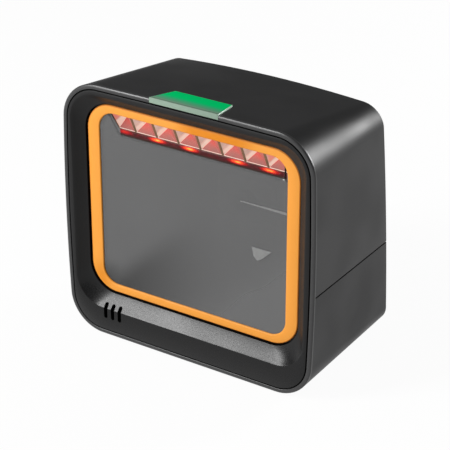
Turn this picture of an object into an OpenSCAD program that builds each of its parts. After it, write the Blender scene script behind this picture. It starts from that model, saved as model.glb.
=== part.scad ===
// Desktop barcode scanner with a dished front, a framed window and a lit tab over its top edge.
// Millimetres. X runs across the front, Y runs from the front to the back, Z is up from the floor.
// Every piece is placed from the front plane: x across, depth behind the front, height from mid front.

/* [Body] */
// Width across the front, at its corners
body_w = 160; // [154:1:176]
// Height of the front, without the feet
body_h = 153; // [148:1:166]
// Depth along the base
body_d = 101; // [98:1:118]
// How far each side draws in from the front to the back
side_taper = 7.5; // [5:0.5:9]
// How far the top drops from the front to the back
top_drop = 12; // [8:0.5:14]
// Lean of the back from upright, in degrees
back_lean = 6.3; // [4:0.1:7]
// Wall thickness of the two housing shells
wall = 2.4; // [2:0.1:2.8]
// Radius of the top corners at the front
corner_r = 22; // [18:0.5:24]
// Radius of the bottom corners at the front
base_corner_r = 21; // [18:0.5:23]
// How much less those radii are at the back
corner_tighter = 9.8; // [6:0.2:11]
// Bulge of each side at the front
side_crown = 2; // [1:0.1:2.6]
// Bulge of each side at the back
back_side_crown = 1.2; // [0.6:0.1:2]
// Bulge of the top at the front
top_crown = 0.8; // [0.4:0.1:1.6]
// Bulge of the top at the back
back_top_crown = 4; // [2:0.2:5]
// Rounding of the front and back edges
edge_r = 0.8; // [0.4:0.1:1.2]

/* [Seam] */
// Height of the side seam above the base, at the front
seam_h = 64.5; // [56:0.5:72]
// Fall of the seam towards the back, in degrees
seam_tilt = 4.8; // [0:0.2:6]
// Width and depth of the shadow line along the seam
shadow_line = 0.45; // [0.3:0.05:0.6]

/* [Front] */
// Width of the rim round the front
rim_w = 2.6; // [2:0.1:3]
// Thickness of the rim, where the shells butt against it
rim_t = 1.8; // [1.4:0.1:2.4]
// Width of the groove inside the rim
groove_w = 0.7; // [0.5:0.1:1]
// Depth of the groove inside the rim
groove_t = 1.2; // [0.8:0.1:1.4]
// From the side of the body to the mouth of the dish
mouth_side = 5.1; // [4.6:0.1:7]
// From the top of the body to the mouth of the dish
mouth_top = 6.3; // [5:0.1:9]
// From the base of the body to the mouth of the dish
mouth_base = 18; // [16:0.5:22]
// Corner radius of the mouth
mouth_r = 16.5; // [13:0.5:18]
// Width of the slope at the sides of the dish
slope_side = 6.1; // [4:0.1:8]
// Width of the slope at the top of the dish
slope_top = 5.8; // [4:0.1:8]
// Width of the slope at the bottom of the dish
slope_base = 8; // [5:0.1:9]
// Depth of the dish down to the light ring
dish_t = 6.1; // [5:0.1:8]
// Skin thickness of the bezel
bezel_skin = 2.2; // [1.8:0.1:2.6]
// Number of slots in front of the speaker
slot_count = 3; // [2:1:5]
// Distance between neighbouring slots
slot_pitch = 4.85; // [4:0.05:5.4]
// Width of each slot
slot_w = 1.8; // [1.2:0.1:2.4]
// Length of each slot on the face, below the mouth of the dish
slot_drop = 7.4; // [5:0.1:9]

/* [Window] */
// Width of the light ring's sides
ring_side = 8; // [6:0.1:9]
// Width of the light ring's top and bottom
ring_edge = 4.9; // [4:0.1:6.5]
// Corner radius outside the light ring
ring_r = 16.5; // [13:0.5:18]
// Corner radius inside the light ring
ring_inner_r = 10; // [8:0.5:12]
// Dark gap between the dish and the light ring
ring_gap = 1.3; // [0.6:0.1:1.4]
// How far the ring's face lies behind the inner edge of the dish
ring_sink = 0.8; // [0.2:0.1:1.4]
// Thickness of the light ring
ring_t = 2.5; // [2.2:0.1:3.4]
// How far the glass lies below the face of the ring
glass_inset = 0.9; // [0.6:0.1:1.2]
// How far the glass reaches under the ring
glass_lap = 1.5; // [1:0.1:2.4]

/* [Status light] */
// Width of the tab at its front
tab_w = 44; // [36:1:50]
// Width of the tab at its back
tab_back_w = 36.8; // [30:0.2:44]
// Length of the tab along the top
tab_l = 19.5; // [14:0.5:24]
// How far the tab stands above the top, and lies sunk in it
tab_proud = 0.8; // [0.5:0.1:1]

/* [Chamber] */
// Depth of the chamber's back wall behind the front
chamber_d = 62; // [56:1:66]
// Thickness of the chamber's walls
chamber_wall = 1.5; // [1.2:0.1:2]
// Half width of the chamber's small end
throat_half_w = 20; // [18:0.5:24]
// Half height of the chamber's small end
throat_half_h = 13; // [12:0.5:16]
// Thickness of the flange behind the window
flange_t = 2; // [1.6:0.1:2.6]
// How far the flange reaches past the light ring
flange_lap = 2.2; // [1.6:0.1:2.4]
// Depth of the light box above the chamber
light_box_d = 30; // [27:0.5:34]

/* [Reflectors] */
// Number of reflector cups
cup_count = 8; // [6:1:9]
// Distance between neighbouring cups
cup_pitch = 14.35; // [12:0.05:14.5]
// Web between neighbouring cups
cup_web = 0.7; // [0.5:0.1:1.2]
// Depth of each cup
cup_t = 4.2; // [3:0.1:4.6]
// Lean of the row from upright, in degrees
row_tilt = 24; // [18:1:28]
// Depth of the row's lower front edge behind the front
row_d = 16.2; // [15:0.1:17]
// From the top of the window opening down to the row's lower edge
row_drop = 12.4; // [11:0.1:13.4]
// Height of the light strip below the row
strip_h = 3.2; // [2.6:0.1:4]
// Thickness of the light strip
strip_t = 1.4; // [1:0.1:1.8]
// Distance between the inner pair of lamps
inner_lamp_gap = 31; // [24:0.5:36]
// Distance between the outer pair of lamps
outer_lamp_gap = 73.6; // [64:0.2:80]

/* [Camera] */
// Outer radius of the lens barrel
barrel_r = 6; // [5:0.1:6.6]
// Length of the lens barrel
barrel_l = 14; // [12:0.5:16]
// Radius of the front lens
lens_r = 4.6; // [3.6:0.1:4.8]
// Width of the square lens holder
holder_w = 15; // [14:0.5:16]
// Width of the camera board
camera_board_w = 42; // [40:1:46]
// Height of the camera board
camera_board_h = 27; // [26:1:30]

/* [Electronics] */
// Half width of the main board
board_half_w = 48; // [46:1:52]
// Depth of the main board's front edge behind the front
board_front = 24; // [22:1:28]
// Height of the main board above the floor of the cover
board_lift = 8; // [6:0.5:10]
// Thickness of the main board
board_t = 1.6; // [1:0.1:2]
// Thickness of the small boards
small_board_t = 1.2; // [0.8:0.1:1.6]
// Outer width of the interface socket
socket_w = 15.5; // [15:0.1:17]
// Outer height of the interface socket
socket_h = 13.2; // [12.6:0.1:15]
// Length of the interface socket
socket_l = 16; // [14:0.5:18]
// Width of the socket's cavity
plug_w = 11.8; // [11.6:0.1:12.2]
// Height of the socket's cavity
plug_h = 7.6; // [7.2:0.1:8]
// Depth of the socket's cavity
plug_l = 12; // [10:0.5:12.5]
// Number of contacts in the socket
contact_count = 8; // [6:1:10]
// Radius of the speaker
speaker_r = 7.5; // [6.5:0.1:7.8]
// Thickness of the speaker
speaker_t = 4.2; // [3:0.1:5]
// From the side of the body to the middle of the speaker
speaker_side = 29; // [27:0.5:34]
// From the base of the body to the middle of the speaker
speaker_lift = 13.2; // [12.6:0.1:14]

/* [Fasteners and feet] */
// From the side of the body to the screw towers
tower_side = 16; // [15:0.5:17]
// Outer radius of the screw towers
tower_r = 4.5; // [4:0.1:4.8]
// Depth of the front towers behind the front
front_tower_d = 18; // [17:0.5:20]
// From the back of the base to the rear towers
rear_tower_gap = 25; // [22:0.5:28]
// Shank radius of the housing screws
screw_r = 1.25; // [1:0.05:1.4]
// Radius of the rubber feet
foot_r = 7; // [5:0.5:8]
// How far the feet stand out below the base
foot_h = 1.5; // [1:0.1:2.5]
// Depth of the recesses that hold the feet
foot_recess = 1; // [0.6:0.1:1.2]
// From the side of the body to the middle of each foot
foot_side = 32; // [30:1:40]

/* [Hidden] */
$fn = 48;
fit = 0.15;          // running fit between mouldings
past = 1;            // how far a cut runs past the face that it opens
corner_steps = 10;   // facets round a quarter corner
edge_steps = 6;      // facets along a crowned edge
curve_steps = 14;    // facets along a ribbon
slope_steps = 4;     // facets down the slope of the dish
slope_hollow = 0.25; // how far the slope is hollowed, as a share of its depth
far = 2 * (body_w + body_h + body_d);
hole_play = 0.3;     // play round what passes through a hole
press_play = 0.05;   // play of what is pressed or screwed in

// Heights are measured from mid front
base_h = -body_h / 2;
front_top = body_h / 2 + top_crown;
back_top = body_h / 2 - top_drop;
back_crest = back_top * (1 + 2 * back_top_crown / body_h);
function back_depth(height) = body_d - tan(back_lean) * (height - base_h);
top_angle = atan((front_top - back_crest) / back_depth(back_crest));
function seam_height(depth) = base_h + seam_h - tan(seam_tilt) * depth;

// Outlines of the dish, the ring and the window
mouth_half_w = body_w / 2 - mouth_side;
mouth_top_h = body_h / 2 - mouth_top;
mouth_base_h = base_h + mouth_base;
ring_half_w = mouth_half_w - slope_side;
ring_top_h = mouth_top_h - slope_top;
ring_base_h = mouth_base_h + slope_base;
opening_half_w = ring_half_w - ring_side;
opening_top_h = ring_top_h - ring_edge;
opening_base_h = ring_base_h + ring_edge;
bezel_d = dish_t + ring_t;
glass_d = dish_t + glass_inset;
seat_half_w = opening_half_w - fit - chamber_wall;
seat_top_h = opening_top_h - fit;
seat_base_h = opening_base_h + chamber_wall;
seat_r = ring_inner_r;
seat_screw_inset = flange_lap - 3.6;
seat_screw_x = ring_half_w + seat_screw_inset;
seat_screw_high = ring_top_h + seat_screw_inset;
seat_screw_low = ring_base_h - seat_screw_inset;

// The chamber narrows from the window to the throat, under the light box
strip_lap = 0.4;     // how far the strip stands ahead of the row's edge
strip_end = 4;       // gap between the strip and each side of the window
strip_back = row_d + strip_t - strip_lap;
row_base_h = seat_top_h - row_drop;
strip_base_h = row_base_h - strip_h;
ceiling_slope = (strip_base_h - throat_half_h) / (chamber_d - strip_back);
function ceiling(depth) = strip_base_h + ceiling_slope * (strip_back - depth);
row_top_d = row_d - row_drop * tan(row_tilt);
row_floor = 1.4;     // wall behind the cups
row_end = 0.3;       // gap at each end of the row
row_back_t = cup_t + row_floor;
throat_r = 5;
flange_r = 6;

// Camera, boards and socket
camera_board_d = chamber_d + 12;
post_inset = 3;
post = [camera_board_w / 2 - post_inset, camera_board_h / 2 - post_inset];
post_r = 2.2;
pilot_r = 0.8;
pilot_l = 6;
small_shank_r = 0.75;
small_shank_l = 5;
small_head_r = 1.6;
small_head_h = 1.2;
holder_l = 8;
holder_floor = 4;    // length of the square space behind the barrel, over the sensor
barrel_front = camera_board_d - holder_floor - barrel_l;
lens_seat_t = 1.6;   // depth of the lens's seat in the front of the barrel
lens_sink = 0.4;     // how far the lens lies behind the barrel's front edge
lens_lip = 1;        // width of the lip that the lens rests on
sensor_size = [8, 1.2, 7];
sensor_space = 11;   // side of the square space over the sensor
aimer_at = [13, 4];
aimer_r = 3;
aimer_tip_r = 2;
aimer_tip = 0.4;     // how far its tip stands out of the chamber's back
aimer_play = 0.2;
board_base_h = base_h + wall + board_lift;
board_top_h = board_base_h + board_t;
board_back_gap = 1.5;
board_back = back_depth(board_base_h) - wall - board_back_gap;
standoff_r = 3;
standoff_x = board_half_w - 5;
standoff_depths = [board_front + 14, board_back - 8];
processor = [14, 14, 1.4];
processor_at = [-16, 26];
memory = [10, 8, 1];
memory_at = [4, 24];
driver = [6, 6, 1.2];
driver_at = [24, 20];
capacitor_r = 3;
capacitor_h = 7;
capacitor_at = [26, 34];
capacitor_pitch = 8;
camera_chip = [8, 1, 8];
camera_chip_at = [8, 2];
socket_back = back_depth(board_top_h + socket_h) - 0.8;
socket_front = socket_back - socket_l;
plug_base_h = board_top_h + 2;
plug_key = [6.4, 7, 2];    // width, length and height of the key's groove over the plug
contact_pitch = 1.02;
contact_size = [0.4, 8, 0.5];
contact_at = [0.7, 0.02]; // start of each contact, ahead of the socket's floor and above its base
contact_lean = 4;
status_board_drop = 10.8;
status_board_h = front_top - status_board_drop;
status_board_d = 12;
status_board_size = [38, 10];
stem_size = [10, 4];
stem_d = status_board_d + status_board_size.y / 2;
status_posts = 15.5;
status_shank_l = 4;
status_lamp_x = 2.5;
tab_set_back = 0.2;  // how far the tab's top starts behind the front plane
lip_drop = 0.1;      // how far the tab's lip lies below its top
lamp_h = 1.2;
lamp_size = [3, 2.8];
illumination_post = [seat_half_w - 2, seat_top_h - 4];
illumination_post_r = 2.4;
illumination_lamp_t = 2;
illumination_lamp_h = ceiling(light_box_d - illumination_lamp_t) + chamber_wall + lamp_size.y / 2 + hole_play;
light_board_base_h = ceiling(light_box_d) + chamber_wall + fit;
connector_t = 2.5;
connector_h = 4;
ribbon_t = 0.4;
ribbon_gap = 0.1;    // play between a ribbon's end and its connector

// Speaker and towers
speaker_x = speaker_side - body_w / 2;
speaker_h = base_h + speaker_lift;
collar_t = 1.4;
collar_r = speaker_r + collar_t;
speaker_rim = 1.5;   // width of the rim that the gasket covers
cone_play = 0.1;
cone_step = 0.6;     // how far the cone lies behind the gasket
cone_rim_t = 0.5;
cone_roll = 3;       // width of the cone's round edge
shelf_d = 6;
gasket_t = 0.8;
collar_back = shelf_d + gasket_t + speaker_t;
slot_base = mouth_base_h - slot_drop;
slot_top = mouth_base_h + slope_base / 4;
tower_x = body_w / 2 - tower_side;
tower_depths = [front_tower_d, body_d - rear_tower_gap];
boss_l = 14;
boss_rib_t = 3;
boss_pilot = 10;
pilot_spare = 2;     // how far a housing screw's hole runs past the screw
head_r = 2.8;
head_h = 2;
shelf_below_seam = 6;
tongue_t = 1.2;
tongue_h = 2.5;
tongue_root = 3;     // how far the tongue reaches below the seam
chamber_boss_r = 3;
chamber_screw_grip = 1.9;
hollow_relief = 0.4; // how much the bezel's skirt is thinner than its face
skirt_lap = 0.5;     // how far the skirt runs into the rim
foot_depths = [foot_r + 9, body_d - foot_r - 12];

function last(list) = list[len(list) - 1];
function quarter(x, z, r, from) =
    [for (i = [0:corner_steps]) let (a = from + 90 * i / corner_steps) [x + r * cos(a), z + r * sin(a)]];
function between(p, q, steps) = [for (i = [1:1:steps - 1]) p + (q - p) * i / steps];

// Closed outline of a box with round corners, as points that pair up from one outline to the next
function round_outline(half_w, base, top, base_r, top_r, steps = 1) =
    let (
        a = quarter(half_w - top_r, top - top_r, top_r, 0),
        b = quarter(top_r - half_w, top - top_r, top_r, 90),
        c = quarter(base_r - half_w, base + base_r, base_r, 180),
        d = quarter(half_w - base_r, base + base_r, base_r, 270)
    )
    concat(a, between(last(a), b[0], steps), b, between(last(b), c[0], steps),
        c, between(last(c), d[0], steps), d, between(last(d), a[0], steps));

// The same outline with its sides and its top bulged outwards
function crowned(points, half_w, side, top) =
    [for (p = points) let (u = p.x / half_w, v = 2 * p.y / body_h)
        [p.x + side * (1 - v * v) * u, p.y + (v > 0 ? top * (1 - u * u) * v : 0)]];

function front_outline(inset) =
    let (half_w = body_w / 2 - inset)
    crowned(round_outline(half_w, base_h + inset, body_h / 2 - inset,
        base_corner_r - inset, corner_r - inset, edge_steps),
        half_w, side_crown, top_crown);

function back_outline(inset) =
    let (half_w = body_w / 2 - side_taper - inset)
    crowned(round_outline(half_w, base_h + inset, back_top - inset,
        base_corner_r - corner_tighter - inset, corner_r - corner_tighter - inset, edge_steps),
        half_w, back_side_crown, back_top_crown);

function flat_ring(outline, depth) = [for (p = outline) [p.x, depth, p.y]];
function leaning_ring(outline, inset) = [for (p = outline) [p.x, back_depth(p.y) - inset, p.y]];

// Solid through a row of outlines, the first one at the front
module loft(rings) {
    count = len(rings[0]);
    end = len(rings) - 1;
    skin = [for (i = [0:end - 1], k = [0:count - 1], half = [0, 1])
        let (a = i * count + k, b = i * count + (k + 1) % count)
        half == 0 ? [a, b, b + count] : [a, b + count, a + count]];
    front_cap = [[for (k = [count - 1:-1:0]) k]];
    back_cap = [[for (k = [0:count - 1]) end * count + k]];
    polyhedron([for (ring = rings) each ring], concat(front_cap, skin, back_cap), convexity = 8);
}

module at_front() {
    translate([0, -body_d / 2, foot_h + body_h / 2]) children();
}

// Extrudes an outline drawn in x and height, between two depths
module through(from, to) {
    translate([0, to, 0]) rotate([90, 0, 0]) linear_extrude(to - from) children();
}

// Extrudes an outline drawn in depth and height, between two places in x
module across(from, to) {
    translate([from, 0, 0]) rotate([90, 0, 90]) linear_extrude(to - from) children();
}

module round_rect(half_w, base, top, r) {
    for (x = [r - half_w, half_w - r], z = [base + r, top - r]) translate([x, z]) circle(r);
    translate([-half_w, base + r]) square([2 * half_w, top - base - 2 * r]);
    translate([r - half_w, base]) square([2 * (half_w - r), top - base]);
}

module slab(from, to) {
    translate([-far / 2, from, -far / 2]) cube([far, to - from, far]);
}

// Everything from one height above the seam to another
module seam_slab(from, to) {
    translate([0, 0, seam_height(0)]) rotate([-seam_tilt, 0, 0])
        translate([-far / 2, -far / 2, from]) cube([far, far, to - from]);
}

// The housing's outer form with rounded front and back edges
module body_form() {
    front = [for (a = [90, 45, 0])
        flat_ring(front_outline(edge_r * (1 - cos(a))), edge_r * (1 - sin(a)))];
    back = [for (a = [0, 45, 90])
        leaning_ring(back_outline(edge_r * (1 - cos(a))), edge_r * (1 - sin(a)))];
    loft(concat(front, back));
}

// The same form drawn in by an even amount, open to the front
module body_core(inset) {
    loft([flat_ring(front_outline(inset), 0), leaning_ring(back_outline(inset), inset)]);
}

module at_towers() {
    for (x = [-tower_x, tower_x], depth = tower_depths) translate([x, depth, 0]) children();
}

module at_slots() {
    for (i = [0:slot_count - 1])
        translate([speaker_x + (i - (slot_count - 1) / 2) * slot_pitch, 0, 0]) children();
}

module shell() {
    difference() {
        intersection() {
            body_form();
            slab(rim_t, 2 * body_d);
        }
        body_core(wall);
    }
}

module on_top() {
    translate([0, 0, front_top]) rotate([-top_angle, 0, 0]) children();
}

module tab_outline(gap) {
    polygon([[-tab_w / 2 - gap, 0], [tab_w / 2 + gap, 0], [tab_back_w / 2 + gap, tab_l + gap],
        [-tab_back_w / 2 - gap, tab_l + gap]]);
}

module upper_housing() {
    color("#3a3b3e") at_front() difference() {
        union() {
            intersection() {
                shell();
                seam_slab(0, far);
            }
            intersection() {
                body_core(wall / 2);
                union() {
                    seam_bosses();
                    status_bosses();
                }
            }
        }
        on_top() translate([0, 0, -tab_proud]) linear_extrude(far) tab_outline(fit);
        translate([-stem_size.x / 2 - fit, stem_d - stem_size.y / 2 - fit, 0])
            cube([stem_size.x + 2 * fit, stem_size.y + 2 * fit, far]);
        for (x = [-tower_x, tower_x], depth = tower_depths)
            translate([x, depth, seam_height(depth) - pilot_spare])
                cylinder(r = screw_r + press_play, h = boss_pilot + pilot_spare);
        for (x = [-status_posts, status_posts])
            translate([x, stem_d, status_board_h]) cylinder(r = pilot_r, h = status_shank_l + past);
    }
}

// Half bosses on the side walls, which take the housing screws
module seam_bosses() {
    intersection() {
        seam_slab(0, boss_l);
        for (side = [-1, 1], depth = tower_depths) {
            translate([side * tower_x, depth, base_h]) cylinder(r = tower_r, h = body_h);
            translate([side > 0 ? tower_x : -body_w / 2 - side_crown, depth - boss_rib_t / 2, base_h])
                cube([tower_side + side_crown, boss_rib_t, body_h]);
        }
    }
}

module status_bosses() {
    for (x = [-status_posts, status_posts])
        translate([x, stem_d, status_board_h + small_board_t]) cylinder(r = post_r, h = far);
}

module lower_cover() {
    color("#343538") at_front() difference() {
        union() {
            intersection() {
                shell();
                seam_slab(-far, 0);
            }
            seam_tongue();
            intersection() {
                body_core(wall / 2);
                seam_slab(-far, 0);
                at_towers() translate([0, 0, base_h]) cylinder(r = tower_r, h = body_h);
            }
            for (x = [-standoff_x, standoff_x], depth = standoff_depths)
                translate([x, depth, base_h + wall / 2])
                    cylinder(r = standoff_r, h = board_base_h - base_h - wall / 2);
        }
        difference() {
            intersection() {
                body_form();
                seam_slab(-shadow_line, past);
            }
            body_core(shadow_line);
        }
        for (depth = tower_depths) {
            for (x = [-tower_x, tower_x]) translate([x, depth, 0]) {
                translate([0, 0, base_h - past])
                    cylinder(r = head_r + hole_play, h = seam_height(depth) - shelf_below_seam - base_h + past);
                translate([0, 0, base_h]) cylinder(r = screw_r + hole_play, h = body_h);
            }
        }
        for (x = [-standoff_x, standoff_x], depth = standoff_depths)
            translate([x, depth, board_base_h - pilot_l]) cylinder(r = pilot_r, h = pilot_l + past);
        at_feet() translate([0, 0, base_h - past]) cylinder(r = foot_r + fit, h = past + foot_recess);
        translate([-socket_w / 2 - 2 * fit, socket_back - socket_l / 2, board_top_h - fit])
            cube([socket_w + 4 * fit, 2 * socket_l, socket_h + 2 * fit]);
    }
}

// Lip that stands up behind the upper housing's wall
module seam_tongue() {
    difference() {
        union() {
            intersection() {
                body_core(wall + fit);
                seam_slab(0, tongue_h);
            }
            intersection() {
                body_core(wall - hole_play);
                seam_slab(-tongue_root, 0);
            }
        }
        body_core(wall + fit + tongue_t);
        slab(-past, bezel_d + past);
        for (depth = tower_depths)
            translate([-far / 2, depth - tower_r - fit, seam_height(depth) - tongue_root])
                cube([far, 2 * tower_r + 2 * fit, 4 * tongue_root]);
    }
}

module at_feet() {
    for (x = [foot_side - body_w / 2, body_w / 2 - foot_side], depth = foot_depths)
        translate([x, depth, 0]) children();
}

// Outline of the dish at a share of its slope, from 0 at the mouth to 1 at the edge round the ring
function dish_outline(share, grow) =
    let (r = mouth_r + (ring_r + ring_gap - mouth_r) * share + grow)
    round_outline(mouth_half_w - (slope_side - ring_gap) * share + grow,
        mouth_base_h + (slope_base - ring_gap) * share - grow,
        mouth_top_h - (slope_top - ring_gap) * share + grow, r, r);

// Depth of the slope at the same share, slightly hollow
function slope_depth(share) = edge_r + (dish_t - ring_sink - edge_r) * share * (1 + slope_hollow * (1 - share));

// The dish: a rounded mouth, a hollow slope and a straight well for the ring
module dish(grow) {
    lead = [flat_ring(dish_outline(0, grow + edge_r), -past)];
    mouth = [for (a = [90, 45])
        flat_ring(dish_outline(0, grow + edge_r * (1 - cos(a))), edge_r * (1 - sin(a)))];
    slope = [for (i = [0:slope_steps])
        flat_ring(dish_outline(i / slope_steps, grow), slope_depth(i / slope_steps))];
    well = [flat_ring(dish_outline(1, grow), bezel_d + past)];
    loft(concat(lead, mouth, slope, well));
}

module at_chamber_screws() {
    for (x = [-1, 1], h = [seat_screw_low, seat_screw_high]) translate([x * seat_screw_x, 0, h]) children();
}

module along_depth(from, to, r) {
    translate([0, to, 0]) rotate([90, 0, 0]) cylinder(r = r, h = to - from);
}

module at_speaker() {
    translate([speaker_x, 0, speaker_h]) children();
}

module front_bezel() {
    color("#2b2b2d") at_front() difference() {
        union() {
            intersection() {
                body_form();
                slab(-past, rim_t);
            }
            intersection() {
                body_core(wall + fit);
                slab(rim_t - skirt_lap, bezel_d);
            }
            at_speaker() along_depth(bezel_skin, collar_back, collar_r);
        }
        difference() {
            through(-past, groove_t) polygon(front_outline(rim_w));
            through(-2 * past, groove_t + past) polygon(front_outline(rim_w + groove_w));
        }
        dish(0);
        difference() {
            bezel_hollow();
            dish(bezel_skin);
        }
        at_slots() through(-past, dish_t) {
            for (h = [slot_base + slot_w / 2, slot_top - slot_w / 2]) translate([0, h]) circle(slot_w / 2);
            translate([-slot_w / 2, slot_base + slot_w / 2]) square([slot_w, slot_top - slot_base - slot_w]);
        }
        translate([-tab_w / 2 - fit, -past, front_top - rim_w])
            cube([tab_w + 2 * fit, past + rim_t + fit, 2 * rim_w + tab_proud]);
        at_chamber_screws() along_depth(bezel_d - chamber_screw_grip - hole_play, bezel_d + past, pilot_r);
    }
}

// Space behind the face, with the collar and the screw bosses left standing
module bezel_hollow() {
    difference() {
        intersection() {
            body_core(wall + fit + bezel_skin - hollow_relief);
            slab(bezel_skin, bezel_d + past);
        }
        at_speaker() along_depth(0, collar_back, collar_r);
        at_chamber_screws() along_depth(0, bezel_d, chamber_boss_r);
    }
    at_speaker() along_depth(bezel_skin, shelf_d, speaker_r - speaker_rim);
    at_speaker() along_depth(shelf_d, collar_back + past, speaker_r + fit);
}

module light_ring() {
    color("#f59a1e") at_front() difference() {
        through(dish_t, bezel_d) round_rect(ring_half_w, ring_base_h, ring_top_h, ring_r);
        through(dish_t - past, bezel_d + past)
            round_rect(opening_half_w, opening_base_h, opening_top_h, ring_inner_r);
        through(glass_d, bezel_d + past) round_rect(opening_half_w + glass_lap, opening_base_h - glass_lap,
            opening_top_h + glass_lap, ring_inner_r + glass_lap);
    }
}

module window_glass() {
    lap = glass_lap - fit;
    color("#6f7072") at_front() through(glass_d, bezel_d)
        round_rect(opening_half_w + lap, opening_base_h - lap, opening_top_h + lap, ring_inner_r + lap);
}

module status_light() {
    stem_base = status_board_h + small_board_t + lamp_h + hole_play;
    color("#19c27a") at_front() {
        on_top() translate([0, 0, -tab_proud]) linear_extrude(2 * tab_proud) intersection() {
            tab_outline(0);
            translate([-tab_w, tab_set_back]) square([2 * tab_w, tab_l]);
        }
        translate([-tab_w / 2, 0, front_top - rim_w + fit])
            cube([tab_w, rim_t - fit, rim_w - fit + tab_proud - lip_drop]);
        translate([-stem_size.x / 2, stem_d - stem_size.y / 2, stem_base])
            cube([stem_size.x, stem_size.y, front_top - tan(top_angle) * (stem_d + stem_size.y) - stem_base]);
    }
}

module status_board() {
    color("#1f6b3a") at_front() difference() {
        translate([-status_board_size.x / 2, status_board_d, status_board_h])
            cube([status_board_size.x, status_board_size.y, small_board_t]);
        for (x = [-status_posts, status_posts])
            translate([x, stem_d, status_board_h - past])
                cylinder(r = pilot_r + hole_play, h = small_board_t + 2 * past);
    }
}

module status_lamps() {
    color("#e8f5d0") at_front() for (x = [-status_lamp_x, status_lamp_x])
        translate([x - lamp_size.x / 2, stem_d - lamp_size.y / 2, status_board_h + small_board_t])
            cube([lamp_size.x, lamp_size.y, lamp_h]);
}

// Funnel from the window to the camera, grown by the wall for its outside
function throat(grow) =
    round_outline(throat_half_w + grow, -throat_half_h - grow, throat_half_h + grow,
        throat_r + grow, throat_r + grow);
function window_end(grow) =
    round_outline(seat_half_w + grow, seat_base_h - grow, ceiling(bezel_d) + grow,
        seat_r + grow, seat_r + grow);

// Side view of the light box, grown by the wall for its outside
module light_box_outline(grow, back) {
    polygon([[bezel_d - (grow > 0 ? 0 : past), seat_top_h + grow], [back, seat_top_h + grow],
        [back, ceiling(back) + chamber_wall - grow], [strip_back, ceiling(strip_back) + chamber_wall - grow],
        [strip_back, strip_base_h - past], [bezel_d - (grow > 0 ? 0 : past), strip_base_h - past]]);
}

module scan_chamber() {
    color("#55575a") at_front() difference() {
        union() {
            through(bezel_d, bezel_d + flange_t)
                round_rect(ring_half_w + flange_lap, ring_base_h - flange_lap, ring_top_h + flange_lap, flange_r);
            loft([flat_ring(window_end(chamber_wall), bezel_d), flat_ring(throat(chamber_wall), chamber_d),
                flat_ring(throat(chamber_wall), chamber_d + chamber_wall)]);
            across(-seat_half_w - chamber_wall, seat_half_w + chamber_wall)
                light_box_outline(chamber_wall, light_box_d);
            for (x = [-post.x, post.x], h = [-post.y, post.y])
                translate([x, 0, h]) along_depth(chamber_d, camera_board_d, post_r);
        }
        loft([flat_ring(window_end(0), bezel_d - past), flat_ring(window_end(0), bezel_d),
            flat_ring(throat(0), chamber_d)]);
        difference() {
            across(-seat_half_w, seat_half_w) light_box_outline(0, light_box_d + past);
            for (x = [-illumination_post.x, illumination_post.x])
                translate([x, 0, illumination_post.y])
                    along_depth(light_box_d - pilot_l, light_box_d + 2 * past, illumination_post_r);
        }
        for (x = [-illumination_post.x, illumination_post.x])
            translate([x, 0, illumination_post.y])
                along_depth(light_box_d - small_shank_l, light_box_d + past, pilot_r);
        along_depth(chamber_d - past, chamber_d + chamber_wall + past, barrel_r + hole_play);
        translate([aimer_at.x, 0, aimer_at.y])
            along_depth(chamber_d - past, chamber_d + chamber_wall + past, aimer_tip_r + hole_play);
        for (x = [-post.x, post.x], h = [-post.y, post.y])
            translate([x, 0, h]) along_depth(camera_board_d - pilot_l, camera_board_d + past, pilot_r);
        at_chamber_screws() along_depth(bezel_d - past, bezel_d + flange_t + past, small_shank_r + hole_play);
    }
}

// One pyramid cup, cut where a ridge across and a ridge along the row meet
module cup(width, height) {
    intersection() {
        linear_extrude(height)
            polygon([[-width / 2, -past], [width / 2, -past], [width / 2, 0], [0, cup_t], [-width / 2, 0]]);
        across(-width / 2, width / 2)
            polygon([[-past, 0], [0, 0], [cup_t, height / 2], [0, height], [-past, height]]);
    }
}

module reflector_row() {
    cup_h = row_drop / cos(row_tilt) - 2 * cup_web;
    lean_back = row_back_t * cos(row_tilt);
    lean_up = row_back_t * sin(row_tilt);
    color("#d9a6a0") at_front() difference() {
        across(row_end - seat_half_w, seat_half_w - row_end)
            polygon([[row_d, row_base_h], [row_top_d, seat_top_h], [row_top_d + row_back_t, seat_top_h],
                [row_d + lean_back, row_base_h + lean_up]]);
        for (i = [0:cup_count - 1])
            translate([(i - (cup_count - 1) / 2) * cup_pitch, row_d, row_base_h]) rotate([row_tilt, 0, 0])
                translate([0, 0, cup_web]) cup(cup_pitch - cup_web, cup_h);
    }
}

module light_strip() {
    color("#6a1d18") at_front() translate([-seat_half_w + strip_end, strip_back - strip_t, strip_base_h])
        cube([2 * (seat_half_w - strip_end), strip_t, strip_h]);
}

module illumination_board() {
    color("#1f6b3a") at_front() difference() {
        through(light_box_d, light_box_d + small_board_t)
            translate([-seat_half_w, light_board_base_h])
                square([2 * seat_half_w, seat_top_h - light_board_base_h]);
        for (x = [-illumination_post.x, illumination_post.x]) translate([x, 0, illumination_post.y])
            along_depth(light_box_d - past, light_box_d + small_board_t + past, pilot_r + hole_play);
    }
}

module illumination_lamps() {
    color("#ffd27a") at_front() for (gap = [inner_lamp_gap, outer_lamp_gap], side = [-1, 1])
        translate([(side * gap - lamp_size.x) / 2, light_box_d - illumination_lamp_t,
            illumination_lamp_h - lamp_size.y / 2])
            cube([lamp_size.x, illumination_lamp_t, lamp_size.y]);
}

module lens_barrel() {
    color("#1b1b1c") at_front() difference() {
        along_depth(barrel_front, barrel_front + barrel_l, barrel_r);
        along_depth(barrel_front - past, barrel_front + lens_seat_t, lens_r + fit);
        along_depth(barrel_front, barrel_front + barrel_l + past, lens_r - lens_lip);
    }
}

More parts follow.
